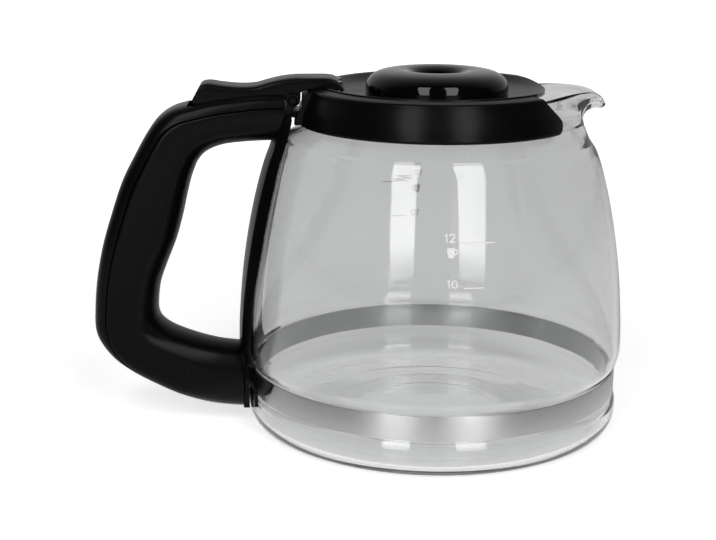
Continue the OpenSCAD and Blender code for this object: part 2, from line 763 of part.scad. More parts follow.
module neck_collar() {
    inside = [
        for (i = [1 : 3]) let (s = outer_neck_shares[i])
            [neck_r + s[1] * glass_t + collar_gap, glass_h - s[0] * neck_h + collar_gap]
    ];
    foot_r = neck_r + outer_neck_shares[0][1] * glass_t + collar_gap;
    // Line of the collar's ends: how far it lies across the end's radius, and its height
    end_line = [
        for (s = collar_end_shares) [low_r * sin(s[0] - collar_end_angle), collar_z + s[1] * collar_h]
    ];
    color([0.08, 0.08, 0.085]) difference() {
        union() {
            turned(concat(
                [[0, collar_z], [low_r - collar_foot_edge, collar_z]],
                [for (s = collar_side_shares) [top_r + s[0] * (low_r - top_r), collar_z + s[1] * collar_h]],
                [[top_r, collar_top - collar_edge], [top_r - collar_edge / 2, collar_top - collar_edge / 2]],
                [[flange_r + seat_gap, collar_top], [0, collar_top]]
            ));
            // Block at the back that fills the space up to the lever and its hinge
            side_prism([
                [-neck_r + over, collar_z + collar_foot_edge],
                [block_low_x + collar_foot_edge, collar_z + collar_foot_edge],
                [block_low_x, collar_z + 2 * collar_foot_edge],
                [block_x, hinge[1] - ear_r], [block_x, hinge[1] + block_rise],
                [-top_r, collar_top - collar_edge], [-neck_r + over, collar_top - collar_edge]
            ], 2 * (ear_y + ear_t));
            side_prism([
                [-top_r, tongue_z], [-top_r, tongue_z + tongue_t],
                [tongue_end_x, tongue_z + tongue_t], [tongue_end_x, hook_z],
                [-spine_out_at(hook_z) - seat_gap, hook_z], [-spine_out_at(tongue_z) - seat_gap, tongue_z]
            ], tongue_w);
        }
        // Room for the neck, the ledge and the lid
        turned(concat(
            [[0, collar_z - over], [foot_r, collar_z - over], [foot_r, collar_z]],
            inside,
            [[neck_r + collar_gap, glass_h + seat_gap], [ledge_r, glass_h + seat_gap], [ledge_r, ledge_z]],
            [[flange_r, ledge_z], [flange_r, collar_top + over], [0, collar_top + over]]
        ));
        // Opening for the pouring lip, with sloping ends, cut from each side as far as it reaches
        for (side = [0, 1]) mirror([0, side, 0]) rotate([0, 0, collar_end_angle])
            translate([low_r / 2, 0, 0]) rotate([90, 0, 90]) linear_extrude(height = 2 * low_r)
                polygon(concat(end_line, [[-2 * low_r, collar_z - over], [-2 * low_r, collar_top + over]]));
        // Seat of the lever across the rim
        translate([-low_r - over, -ear_y, lever_tail[1] - film]) cube([low_r / 2, 2 * ear_y, collar_h]);
    }
}

// Lid

// Skirt under the lid plate that keeps it centred on the ledge: gap, thickness and height
skirt_gap = 0.6;
skirt_t = 1.6;
skirt_h = 7;
skirt_r = ledge_r - skirt_gap;
lid_top = lid_seat_z + lid_t;
dish_z = lid_top - dish_depth;
// Rounding of the plate's upper edge
lid_edge = 0.5;
// How far the dome stands out over its hole in the plate
dome_lap = 1.2;
dome_r = lid_r - dish_w;
spigot_r = dome_r - dome_lap;
// Radius of the lid's front edge, and how much is cut off straight at its back
beak_r = 67;
back_cut = 1.9;
beak_x = lid_r - beak_cut;
lid_back_x = back_cut - lid_r;
// Where the lid's skirt and the funnel under it stop, so that the coffee runs freely to the pouring lip, as
// a share of the lid's radius
pour_share = 0.66;
pour_x = lid_r * pour_share;
// Places of the screws that hold the lever, and their distance from the skirt
lever_screw_ys = [-5.5, 5.5];
lever_screw_gap = 1;
lever_screw_x = -(skirt_r - skirt_t - tap_screw_d * pan_share / 2 - lever_screw_gap);
// How deep the screws reach into the lever, and the bore beyond them, as shares of its depth
screw_reach_share = 0.4;
bore_reach_share = 0.42;

module thumb_lever() {
    color([0.07, 0.07, 0.075]) difference() {
        union() {
            skin([
                for (s = lever_lines) loft_ring(s[0], s[1], lever_w / 2, lever_power, 2 * lever_power, 20)
            ]);
            cross_rod(hinge, 2 * knuckle_r, lever_w);
        }
        cross_rod(hinge, pin_d + 2 * pin_gap, 2 * lever_w);
        for (y = lever_screw_ys) translate([lever_screw_x, y, lever_tail[1] - over])
            cylinder(d = tap_screw_d, h = over + lever_depth * bore_reach_share);
    }
}

module lever_screws() {
    color([0.6, 0.61, 0.63]) for (y = lever_screw_ys)
        translate([lever_screw_x, y, lever_screw_z]) rotate([180, 0, 0])
            pan_screw(tap_screw_d, lever_tail[1] + lever_depth * screw_reach_share - lever_screw_z);
}

// Top of the dish from its rim to its floor: share of the way in from the rim to the dome, share of depth
dish_shares = [[0, 0], [0.1, 0.06], [0.22, 0.3], [0.45, 0.72], [0.7, 0.94], [0.9, 1], [1, 1]];

function dish_at(r) =
    lid_top - dish_depth * smooth_at(dish_shares, min(1, max(0, (lid_r - r) / (lid_r - dome_r))));
function dish_under(r) = dish_at(r) - lid_t;

module lid_plate() {
    dish_r = lid_r - 2 * lid_edge;
    rs = [for (k = [0 : 9]) dish_r - (dish_r - spigot_r) * k / 9];
    rim_r = skirt_r - skirt_t;
    color([0.1, 0.1, 0.105]) difference() {
        intersection() {
            union() {
                turned(concat(
                    [[lid_r, lid_seat_z], [lid_r, lid_top - lid_edge], [lid_r - lid_edge, lid_top]],
                    [for (r = rs) [r, dish_at(r)]],
                    [for (r = flip(rs)) if (r < rim_r) [r, dish_under(r)]],
                    [[rim_r, lid_seat_z]]
                ));
                difference() {
                    shell(rim_r, skirt_t, lid_seat_z - skirt_h, lid_seat_z + film);
                    translate([pour_x, -lid_r, 0]) cube(2 * glass_h);
                }
            }
            translate([beak_x - beak_r, 0, 0]) cylinder(r = beak_r, h = 2 * glass_h, $fn = 160);
            translate([lid_back_x, -2 * lid_r, 0]) cube(2 * glass_h);
        }
        translate([-2 * lid_r, -lever_w / 2 - film, lever_tail[1]])
            cube([2 * lid_r + lever_tail[0] + film, lever_w + 2 * film, lid_t * 3]);
        for (y = lever_screw_ys) translate([lever_screw_x, y, 0])
            cylinder(d = tap_screw_d + 2 * film, h = 2 * glass_h);
    }
}

// Outline of the dome from its foot over the crest into the funnel: share of its radius, share of its height
dome_shares = [
    [0.995, 0], [1, 0.1], [0.995, 0.34], [0.968, 0.56], [0.9, 0.77], [0.8, 0.91], [0.66, 0.985], [0.52, 1],
    [0.41, 0.95], [0.33, 0.82], [0.27, 0.6]
];
// Wall of the dome, wall of its tube and spigot, level of the tube's lower end below the dish, and how far
// the spigot reaches below the plate
dome_t = 1.8;
tube_t = 1.44;
tube_low = 8.5;
spigot_l = 0.6;
// Levels inside the dome where its funnel meets the tube and where the spigot begins, as shares of its height
funnel_share = 0.3;
spigot_share = 0.25;

module lid_dome() {
    drip_r = drip_d / 2;
    outside = round_curve([for (s = dome_shares) [dome_r * s[0], dish_z + dome_h * s[1]]], 3);
    // The inner face keeps the wall's thickness: it moves in below the crest and out round the funnel
    inside = [
        for (s = dome_shares) if (s[0] < 0.98 && s[0] > 0.3)
            let (step = s[0] > 0.6 ? -tube_t : s[0] < 0.45 ? dome_t : 0)
            [dome_r * s[0] + step, dish_z + dome_h * s[1] - dome_t]
    ];
    foot_r = spigot_r - film;
    foot_z = dish_z - lid_t - spigot_l;
    color([0.03, 0.03, 0.035]) turned(concat(
        [[foot_r, foot_z], [foot_r, dish_z]],
        outside,
        [[drip_r, dish_z + dome_h * funnel_share], [drip_r, dish_z - tube_low]],
        [[drip_r + tube_t, dish_z - tube_low], [drip_r + tube_t, dish_z + dome_h * funnel_share]],
        flip(inside),
        [[foot_r - tube_t, dish_z + dome_h * spigot_share], [foot_r - tube_t, foot_z]]
    ));
}

lever_screw_z = dish_under(norm([lever_screw_x, lever_screw_ys[0]]) - tap_screw_d * pan_share / 2) - film;

// Shallow funnel that closes the lid from below
baffle_t = 1.4;
// How far its edge lies above the skirt's lower end, and its hub above the tube's
baffle_lift = 1.4;
hub_lift = 0.4;
// Width of the flat ring along its edge
baffle_ring_w = 3;
baffle_slots = 12;
// Where a slot starts and how long it is, as shares of the funnel's radius
slot_start_share = 0.6;
slot_l_share = 0.22;

module lid_baffle() {
    hub_r = drip_d / 2 + tube_t + film;
    edge_r = skirt_r - skirt_t - film;
    ring_r = edge_r - baffle_ring_w;
    edge_z = lid_seat_z - skirt_h + baffle_lift;
    low_z = dish_z - tube_low + hub_lift;
    color([0.12, 0.12, 0.125]) difference() {
        turned([
            [hub_r, low_z], [hub_r + baffle_t * 2, low_z],
            [ring_r, edge_z - baffle_t / 2], [edge_r, edge_z - baffle_t / 2],
            [edge_r, edge_z + baffle_t / 2], [ring_r, edge_z + baffle_t / 2],
            [hub_r + baffle_t * 2, low_z + baffle_t],
            [hub_r + baffle_t, low_z + baffle_t * 3], [hub_r, low_z + baffle_t * 3]
        ]);
        for (k = [0 : baffle_slots - 1]) rotate([0, 0, (k + 0.5) * 360 / baffle_slots])
            translate([edge_r * slot_start_share, -baffle_t, low_z - over])
                cube([edge_r * slot_l_share, 2 * baffle_t, skirt_h * 2]);
        translate([pour_x, -lid_r, 0]) cube(2 * glass_h);
    }
}

glass_vessel();
steel_band();
band_screw();
band_nut();
handle_spine();
handle_body();
handle_cover();
grip_screws();
neck_collar();
hinge_pin();
thumb_lever();
lever_screws();
lid_plate();
lid_dome();
lid_baffle();
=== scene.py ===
# %% [markdown]
# # A glass coffee jug
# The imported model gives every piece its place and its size. This lesson gives the same pieces the
# smooth surfaces, the finishes and the light of a photograph in a studio. Sizes are written in
# millimetres and turned into Blender's metres at the end.

from math import acos, asin, copysign, cos, degrees, exp, hypot, pi, radians, sin

import bmesh
import bpy
from mathutils import Matrix, Quaternion, Vector


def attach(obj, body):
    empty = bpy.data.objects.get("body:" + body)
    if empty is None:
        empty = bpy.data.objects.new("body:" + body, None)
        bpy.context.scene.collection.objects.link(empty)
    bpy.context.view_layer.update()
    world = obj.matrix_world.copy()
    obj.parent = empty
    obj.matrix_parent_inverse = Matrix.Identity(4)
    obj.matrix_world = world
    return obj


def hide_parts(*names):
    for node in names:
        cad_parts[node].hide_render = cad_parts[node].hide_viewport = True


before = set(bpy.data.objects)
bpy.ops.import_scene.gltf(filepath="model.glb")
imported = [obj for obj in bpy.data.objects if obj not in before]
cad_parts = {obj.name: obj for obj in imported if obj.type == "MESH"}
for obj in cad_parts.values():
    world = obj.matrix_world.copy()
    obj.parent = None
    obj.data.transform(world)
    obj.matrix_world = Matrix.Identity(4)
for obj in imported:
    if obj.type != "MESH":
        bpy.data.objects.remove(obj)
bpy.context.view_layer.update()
MM = 0.001


def in_mm(corners):
    return [[round(v / MM, 1) for v in corner] for corner in corners]


print("nodes:", sorted(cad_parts))

# %% [markdown]
# ## The camera
# A photograph fixes the camera: its height, its tilt and its focal length. The camera's own axes are
# worked out first. Then it is turned about the jug's axis, because the handle doesn't point exactly to
# the left.

# %% The camera
CAMERA_TURN, CAMERA_SWING = radians(-5), radians(-3.06)
CAMERA_TILT, CAMERA_ROLL = radians(14.72), radians(0.355)
CAMERA_AT = Vector((0, -587.0, 216.1))
SENSOR, LENS, SIGHT = 36, 73.17, 20


def put(name, data):
    """An object with this data in the scene."""
    thing = bpy.data.objects.new(name, data)
    bpy.context.scene.collection.objects.link(thing)
    return thing


def make_camera():
    side, ahead, lowered = sin(CAMERA_SWING), cos(CAMERA_SWING), cos(CAMERA_TILT)
    look = Vector((side * lowered, ahead * lowered, -sin(CAMERA_TILT)))
    level = Vector((ahead, -side, 0))
    upright = level.cross(look)
    right = level * cos(CAMERA_ROLL) + upright * sin(CAMERA_ROLL)
    up = upright * cos(CAMERA_ROLL) - level * sin(CAMERA_ROLL)
    pose = Matrix((right, up, -look)).transposed().to_4x4()
    pose.translation = CAMERA_AT * MM
    data = bpy.data.cameras.new("camera")
    data.sensor_width, data.lens, data.clip_end = SENSOR, LENS, SIGHT
    camera = put("camera", data)
    camera.matrix_world = Matrix.Rotation(CAMERA_TURN, 4, "Z") @ pose
    bpy.context.scene.camera = camera
    print("camera at", [round(v, 3) for v in camera.matrix_world.translation])


make_camera()
bpy.context.scene.view_settings.view_transform = "Standard"

# %% [markdown]
# ## Writing materials as sums
# Long node graphs are easier to read as arithmetic, so a small class wraps an output and turns +, -
# and * into Math nodes. The reflected forms let `1 - mask` work too.


# %% A material as arithmetic
class Wire:
    """An output of a node, which takes part in sums."""

    def __init__(self, graph, socket):
        self.graph = graph
        self.socket = socket

    def output(self, name):
        """Another output of the same node."""
        return Wire(self.graph, self.socket.node.outputs[name])

    def _math(self, operation, other, swapped=False):
        values = (other, self) if swapped else (self, other)
        return self.graph.node("ShaderNodeMath", {"operation": operation}, dict(enumerate(values)))

    def __add__(self, other):
        return self._math("ADD", other)

    def __sub__(self, other):
        return self._math("SUBTRACT", other)

    def __rsub__(self, other):
        return self._math("SUBTRACT", other, swapped=True)

    def __mul__(self, other):
        return self._math("MULTIPLY", other)

    __radd__ = __add__
    __rmul__ = __mul__

    def at_least(self, floor):
        return self._math("MAXIMUM", floor)

    def at_most(self, ceiling):
        return self._math("MINIMUM", ceiling)

    def as_share(self):
        """The value, kept from 0 to 1."""
        return self.at_least(0.0).at_most(1.0)


class Graph:
    """The node tree of a material, of a lamp or of the world."""

    def __init__(self, owner):
        owner.use_nodes = True
        self.tree = owner.node_tree
        self.tree.nodes.clear()

    def node(self, kind, settings=None, inputs=None, out=0):
        """Adds a node with its settings and the values or links of its sockets."""
        node = self.tree.nodes.new(kind)
        for name, value in (settings or {}).items():
            setattr(node, name, value)
        for name, value in (inputs or {}).items():
            if isinstance(value, Wire):
                self.tree.links.new(value.socket, node.inputs[name])
            else:
                node.inputs[name].default_value = value
        return Wire(self, node.outputs[out]) if node.outputs else node

    def noise(self, spot, scale, detail, roughness=0.5):
        inputs = {"Vector": spot, "Scale": scale, "Detail": detail, "Roughness": roughness}
        return self.node("ShaderNodeTexNoise", {}, inputs)

    def bump(self, height, strength, distance):
        inputs = {"Height": height, "Strength": strength, "Distance": distance}
        return self.node("ShaderNodeBump", {}, inputs)

    def mix(self, factor, a, b):
        """A colour between a and b."""
        inputs = {"Factor": factor, "A": a, "B": b}
        return self.node("ShaderNodeMix", {"data_type": "RGBA"}, inputs, out=2)

    def parts(self, spot):
        """X, Y and Z of a place."""
        split = self.node("ShaderNodeSeparateXYZ", {}, {"Vector": spot})
        return [split.output(axis) for axis in "XYZ"]

    def rays(self):
        """Switches for rays: from the camera, through glass, mirrored."""
        path = self.node("ShaderNodeLightPath")
        kinds = ("Is Camera Ray", "Is Transmission Ray", "Is Glossy Ray")
        return [path.output(kind) for kind in kinds]


def grey(level):
    return (level, level, level, 1)


def material_of(name, shader):
    """A material from what shader(graph, spot) gives."""
    material = bpy.data.materials.new(name)
    graph = Graph(material)
    spot = graph.node("ShaderNodeTexCoord", out="Object")
    graph.node("ShaderNodeOutputMaterial", {}, {"Surface": shader(graph, spot)})
    print("material", name, "with", len(graph.tree.nodes), "nodes")
    return material


def finish_of(name, surface, constants):
    """A material whose inputs are the constants and what surface(graph, spot) gives."""
    def shader(graph, spot):
        return graph.node("ShaderNodeBsdfPrincipled", {}, {**constants, **surface(graph, spot)})

    return material_of(name, shader)


# %% [markdown]
# ## The glass
# The jug is blown from clear, slightly grey glass. Its wall is never quite even, and that bends the
# reflections. The wall could be modelled uneven, but a broad, weak noise on the normal is enough and
# leaves the mesh clean.


# %% Clear glass
def glass_surface(graph, spot):
    wave = graph.noise(spot, scale=28.0, detail=1.0, roughness=0.4)
    return {"Normal": graph.bump(wave, strength=0.12, distance=0.0006)}


clear_glass = finish_of("clear_glass", glass_surface, {
    "Base Color": (0.84, 0.845, 0.845, 1), "Roughness": 0.0, "IOR": 1.5, "Transmission Weight": 1.0,
})

# %% [markdown]
# ## Black moulded plastic
# Most pieces are satin: the tool was blasted, so a fine grain scatters the highlight. The dome's tool
# is polished and leaves only a weak ripple. A roughness alone would look like paint, so both get a
# relief, and a faint mottle where hands have rubbed.


# %% Black plastic
def satin_surface(graph, spot):
    grain = graph.noise(spot, scale=2600.0, detail=2.0)
    rub = graph.noise(spot, scale=70.0, detail=4.0)
    normal = graph.bump(grain, strength=0.12, distance=0.0001)
    return {"Normal": normal, "Roughness": 0.2 + rub * 0.12}


def polished_surface(graph, spot):
    haze = graph.noise(spot, scale=120.0, detail=5.0)
    ripple = graph.noise(spot, scale=60.0, detail=1.0)
    normal = graph.bump(ripple, strength=0.05, distance=0.0004)
    return {"Normal": normal, "Roughness": 0.03 + haze * 0.04}


black_satin = finish_of("black_satin", satin_surface, {
    "Base Color": (0.0025, 0.0025, 0.003, 1), "IOR": 1.45, "Specular IOR Level": 0.12,
})
black_gloss = finish_of("black_gloss", polished_surface, {
    "Base Color": (0.002, 0.002, 0.0022, 1), "IOR": 1.45, "Specular IOR Level": 0.35,
})

# %% [markdown]
# ## Steel
# The band is brushed along its length into fine lines that run round the jug. So the noise is squeezed
# in height and stretched round the axis. A line bends light up and down only, which pulls each lamp's
# reflection into an upright streak. The shader's anisotropic setting does the same for the lines that
# are too fine to draw.

# %% Brushed and plain steel
LINES_ROUND, LINES_UP = 6.0, 9000.0


def brushed_surface(graph, spot):
    side, depth, height = graph.parts(spot)
    turn = graph.node("ShaderNodeMath", {"operation": "ARCTAN2"}, {0: depth, 1: side})
    unrolled = {"X": turn * LINES_ROUND, "Y": height * LINES_UP, "Z": 0.0}
    unrolled = graph.node("ShaderNodeCombineXYZ", {}, unrolled)
    lines = graph.noise(unrolled, scale=1.0, detail=3.0, roughness=0.7)
    normal = graph.bump(lines, strength=0.35, distance=0.0001)
    tone = graph.mix(lines, (0.54, 0.54, 0.55, 1), (0.69, 0.69, 0.70, 1))
    return {"Normal": normal, "Base Color": tone, "Roughness": 0.34 + lines * 0.1}


def plain_steel_surface(graph, spot):
    return {"Roughness": 0.22 + graph.noise(spot, scale=900.0, detail=4.0) * 0.2}


brushed_band = finish_of("brushed_band", brushed_surface, {
    "Metallic": 1.0, "Anisotropic": 0.95, "Anisotropic Rotation": 0.25,
})
screw_steel = finish_of("screw_steel", plain_steel_surface, {
    "Base Color": (0.5, 0.5, 0.52, 1), "Metallic": 1.0,
})

# %% [markdown]
# ## Curves and skins
# Each surface starts from a few measured points. Two kinds of smooth line run through them: one that
# never overshoots, for the profile of the glass, and a rounder one for loops and lips. A `skin` joins
# rows of points into a closed mesh. Subdivision would be quicker, but it pulls a surface away from its
# points, and the pieces have to lie where the solids do.


# %% Smooth lines
def smooth_at(table, x):
    """Value at x of the smooth curve through the table's points, without overshoot."""
    i = 0
    while i < len(table) - 2 and x >= table[i + 1][0]:
        i += 1

    def secant(k):
        return (table[k + 1][1] - table[k][1]) / (table[k + 1][0] - table[k][0])

    def slope(k):
        if k == 0:
            return secant(0)
        if k == len(table) - 1:
            return secant(k - 1)
        a, b = secant(k - 1), secant(k)
        return 0 if a * b <= 0 else 2 * a * b / (a + b)

    h = table[i + 1][0] - table[i][0]
    s = (x - table[i][0]) / h
    a, b = table[i][1], table[i + 1][1]
    m, n = slope(i) * h, slope(i + 1) * h
    e = (1 - s) ** 2
    return a * (1 + 2 * s) * e + m * s * e + b * s * s * (3 - 2 * s) - n * s * s * (1 - s)


def round_curve(points, steps):
    """Round curve through the points, with that many steps from one to the next."""
    points = [Vector(p) for p in points]
    line = []
    for i in range(len(points) - 1):
        p1, p2 = points[i], points[i + 1]
        p0 = points[i - 1] if i else 2 * p1 - p2
        p3 = points[i + 2] if i + 2 < len(points) else 2 * p2 - p1
        bend = 2 * p0 - 5 * p1 + 4 * p2 - p3
        twist = 3 * p1 - 3 * p2 + p3 - p0
        for k in range(steps):
            s = k / steps
            line.append((2 * p1 + (p2 - p0) * s + bend * s * s + twist * s ** 3) / 2)
    return line + [points[-1]]


def spread(start, end, steps):
    """Values from start to end in even steps."""
    return [start + (end - start) * k / steps for k in range(steps + 1)]


def arc(centre, radius, start, end, steps):
    """Part of a circle, from one angle in degrees to another."""
    turns = [radians(t) for t in spread(start, end, steps)]
    return [(centre[0] + radius * cos(t), centre[1] + radius * sin(t)) for t in turns]


def circle(centre, radius, steps):
    return arc(centre, radius, 0, 360, steps)[:-1]


def round_corners(outline, radius, steps, closed=True):
    """The outline with each of its corners rounded."""
    points = [Vector(p) for p in outline]
    line = []
    for i, p in enumerate(points):
        if not closed and i in (0, len(points) - 1):
            line.append(p)
            continue
        before, after = points[i - 1] - p, points[(i + 1) % len(points)] - p
        reach = min(radius, before.length * 0.45, after.length * 0.45)
        start, end = p + before.normalized() * reach, p + after.normalized() * reach
        for k in range(steps + 1):
            s = k / steps
            line.append(start * (1 - s) ** 2 + 2 * p * s * (1 - s) + end * s * s)
    return line


# %% Meshes from rows of points
CREASE, NO_CREASE = 32, 180


def shade(piece, crease):
    """Smooth shading, except where faces meet at more than the crease angle."""
    mesh = piece.data
    mesh.polygons.foreach_set("use_smooth", [True] * len(mesh.polygons))
    mesh.set_sharp_from_angle(angle=radians(crease))
    mesh.update()


def mesh_piece(name, points, faces, material, crease=CREASE):
    """An object from points in millimetres and faces."""
    mesh = bpy.data.meshes.new(name)
    mesh.from_pydata([tuple(Vector(p) * MM) for p in points], [], faces)
    fix = bmesh.new()
    fix.from_mesh(mesh)
    bmesh.ops.remove_doubles(fix, verts=fix.verts, dist=1e-6)
    bmesh.ops.recalc_face_normals(fix, faces=fix.faces)
    if fix.calc_volume(signed=True) < 0:
        bmesh.ops.reverse_faces(fix, faces=fix.faces)
    fix.to_mesh(mesh)
    fix.free()
    piece = put(name, mesh)
    mesh.materials.append(material)
    shade(piece, crease)
    return piece


def skin(name, rows, material=black_satin, closed=False):
    """A skin over rows of points, capped at both ends or joined end to start."""
    count = len(rows[0])
    points = [p for row in rows for p in row]
    faces = []
    for i in range(len(rows) if closed else len(rows) - 1):
        low, high = i * count, (i + 1) % len(rows) * count
        for j in range(count):
            k = (j + 1) % count
            faces.append((low + j, low + k, high + k, high + j))
    if not closed:
        faces += [tuple(range(count))[::-1], tuple(range((len(rows) - 1) * count, len(points)))]
    return mesh_piece(name, points, faces, material)


def stood_up(profile, turn):
    """A profile of radius and height, stood upright at an angle about the axis."""
    return [(r * cos(turn), r * sin(turn), z) for r, z in profile]


def turned(name, profile, material=black_satin, steps=192):
    """A body turned about the jug's axis from a profile of radius and height."""
    rows = [stood_up(profile, turn) for turn in spread(0, 2 * pi, steps)[:-1]]
    return skin(name, rows, material, closed=True)


def side_block(name, outline, width, material=black_satin, middle=0.0):
    """A block with a side outline in X and Z, centred across Y."""
    rows = [[(x, middle + y, z) for x, z in outline] for y in (-width / 2, width / 2)]
    return skin(name, rows, material)


def rectangle(along, up):
    return [(along[0], up[0]), (along[1], up[0]), (along[1], up[1]), (along[0], up[1])]


def box(name, along, up, width, material=black_satin, middle=0.0):
    """A box from its ranges in X and Z. The far sides of a cutter only lie clear of the jug."""
    return side_block(name, rectangle(along, up), width, material, middle)


# %% Cutting, joining and placing
def cut(piece, tool, operation="DIFFERENCE"):
    """Cuts the tool out of the piece, or joins it on."""
    step = piece.modifiers.new("cut", "BOOLEAN")
    step.operation, step.solver, step.object = operation, "EXACT", tool
    bpy.context.view_layer.update()
    shaped = piece.evaluated_get(bpy.context.evaluated_depsgraph_get())
    result = bpy.data.meshes.new_from_object(shaped)
    piece.modifiers.clear()
    old = piece.data
    piece.data = result
    result.name = old.name
    bpy.data.meshes.remove(old)
    bpy.data.objects.remove(tool)
    shade(piece, CREASE)
    return piece


def place(piece, body, node):
    """Makes the piece ride on its body, in place of the CAD node."""
    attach(piece, body)
    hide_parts(node)
    print(piece.name, "faces:", len(piece.data.polygons), "size:", in_mm([piece.dimensions])[0])


# %% [markdown]
# ## The sizes
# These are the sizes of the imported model, so that the smooth pieces lie where the solids do. A list
# whose name ends in SHARES holds parts of a length, as they were read off the photograph.

# %% Sizes of the jug
GLASS_R, GLASS_H, GLASS_T, BASE_T, FOOT_R = 78.0, 136.6, 2.4, 3.2, 7.5
FOOT_OUT_R = GLASS_R * 0.986
FLAT_R = FOOT_OUT_R - FOOT_R
NECK_R, NECK_H, LIP_REACH = 49.3, 12.5, 68.7
GROOVE_R, BAND_Z, BAND_TOP, BAND_T, BAND_GAP = 75.4, 15.7, 25.5, 0.6, 0.1
BAND_IN_R = GROOVE_R + BAND_GAP
BAND_OUT_R = BAND_IN_R + BAND_T
SHOULDER_Z = GLASS_H - NECK_H
COLLAR_Z, COLLAR_TOP, COLLAR_H = 124.4, 139.3, 14.9
SEAT_GAP = 0.3
BODY_SHARES = [
    (0.04, 0.972), (0.09, 1), (0.15, 0.997), (0.255, 0.976), (0.384, 0.937), (0.512, 0.878),
    (0.641, 0.798), (0.77, 0.693), (0.893, 0.557), (0.94, 0.456), (0.975, 0.345), (0.992, 0.23),
    (1, 0.15),
]
WALL = [(FOOT_R, FOOT_OUT_R), (BAND_Z * 0.72, FOOT_OUT_R), (BAND_Z, GROOVE_R), (BAND_TOP, GROOVE_R)]
for s, w in BODY_SHARES:
    WALL.append((BAND_TOP + s * (SHOULDER_Z - BAND_TOP), NECK_R + w * (GLASS_R - NECK_R)))


def glass_at(z):
    """Outer radius of the glass at a height."""
    return smooth_at(WALL, z)


print("the glass is widest at", round(max(glass_at(20 + 0.5 * k) for k in range(180)), 2))

# %% [markdown]
# ## The glass jug
# The body is round, but the neck opens into a drooping lip. A lip joined on to a turned body would show
# its seam, so the jug is one skin of upright lines. Each is a full profile from the middle of the base
# up the outside, over the rim and down the inside. They stand closer together at the lip.

# %% Rows of the neck
# Height below the rim and offset of the wall, the same for the lip, share of the beak
OUTER_NECK = [
    (1, 1.75, 1, 0.55, 0), (0.87, 0.9, 0.85, 0.54, 0.3), (0.7, 0.28, 0.72, 0.56, 0.56),
    (0.5, 0.08, 0.59, 0.635, 0.82), (0.22, 0.02, 0.51, 0.77, 1), (0.07, -0.1, 0.5, 0.93, 1),
]
RIM_NECK = [(0, -0.5, 0.41, 1, 1), (0.07, -0.9, 0.33, 0.95, 1)]
INNER_NECK = [
    (0.25, -1.02, 0.27, 0.77, 1), (0.5, -1, 0.36, 0.56, 0.86), (0.72, -0.85, 0.56, 0.45, 0.6),
    (0.9, -0.35, 0.8, 0.42, 0.27), (1.06, 0.6, 1, 0.425, 0),
]
LIP_HALF, LIP_RISE, BEAK_ROUND = 38, 1.5, 0.04
BEAK_POWER, THROAT_POWER, DROOP_POWER = 2, 3, 8


def throat_weight(a):
    """Share of the throat: 1 in the middle of the lip, 0 at its sides."""
    if abs(a) >= LIP_HALF:
        return 0.0
    return cos(radians(90 * a / LIP_HALF)) ** THROAT_POWER


def beak_weight(a):
    """Share of the beak: it rises to a point that is a little rounded."""
    if abs(a) >= LIP_HALF:
        return 0.0
    return max(0.0, 1 + BEAK_ROUND - hypot(a / LIP_HALF, BEAK_ROUND)) ** BEAK_POWER


def neck_point(row, a):
    below, out, lip_below, lip_out, beak = row
    w = throat_weight(a) * (1 - beak) + beak_weight(a) * beak
    v = throat_weight(a) * (1 - beak) + beak_weight(a) ** DROOP_POWER * beak
    r = NECK_R + out * GLASS_T
    z = GLASS_H - below * NECK_H
    reach = r + w * (NECK_R + lip_out * (LIP_REACH - NECK_R) - r)
    droop = v * (GLASS_H - lip_below * NECK_H - z)
    return reach, z + droop + beak * LIP_RISE * 4 * w * (1 - w)


# %% Lines of the base and of the wall
RING_SHARES, RING_WIDTH, RING_OUT, RING_IN = (0.42, 0.58, 0.74, 0.9), 2, 0.06, 0.08
INNER_FLAT_R, INNER_FOOT_R = FLAT_R + 0.5, 4.6
BASE_STEPS, WALL_STEPS, NECK_STEPS = 76, 110, 6
WALL_LOW, WALL_RISE = FOOT_R + 0.4, 118.3 - FOOT_R
LEVELS = [WALL_LOW + WALL_RISE * k / WALL_STEPS for k in range(WALL_STEPS + 1)]


def base_line(outside):
    """The base from its middle outwards, with its pressed rings."""
    line = []
    for r in spread(0, FLAT_R, BASE_STEPS):
        ring = sum(exp(-((r - FLAT_R * s) / RING_WIDTH) ** 2) for s in RING_SHARES)
        if outside:
            line.append((r, RING_OUT * ring))
        else:
            line.append((r * INNER_FLAT_R / FLAT_R, BASE_T + RING_IN * ring))
    return line


def upright_line(a):
    """The whole profile of the glass at an angle."""
    foot = arc((FLAT_R, FOOT_R), FOOT_R, -90, 0, 14)[1:]
    up = [(glass_at(z), z) for z in LEVELS]
    neck = round_curve([neck_point(s, a) for s in OUTER_NECK + RIM_NECK + INNER_NECK], NECK_STEPS)
    down = [(glass_at(z) - GLASS_T, z) for z in reversed(LEVELS) if z > FOOT_R + BASE_T]
    # The inner corner runs parallel to the outer one, as a thicker corner shows as a dark ring
    inner_foot = arc((INNER_FLAT_R, BASE_T + INNER_FOOT_R), INNER_FOOT_R, -4, -90, 12)
    return base_line(True) + foot + up + neck + down + inner_foot + base_line(False)[::-1][1:]


# %% The glass jug
def make_jug():
    at_lip = [0.8 * k for k in range(-50, 51)]
    elsewhere = spread(40, 320, 94)[1:-1]
    rows = [stood_up(upright_line(a), radians(a)) for a in at_lip + elsewhere]
    count = len(rows[0])
    points = [p for row in rows for p in row]
    faces = []
    for i in range(len(rows)):
        here, there = i * count, (i + 1) % len(rows) * count
        for j in range(count - 1):
            faces.append((here + j, there + j, there + j + 1, here + j + 1))
    return mesh_piece("glass_jug", points, faces, clear_glass, NO_CREASE)


place(make_jug(), "jug", "glass_vessel")

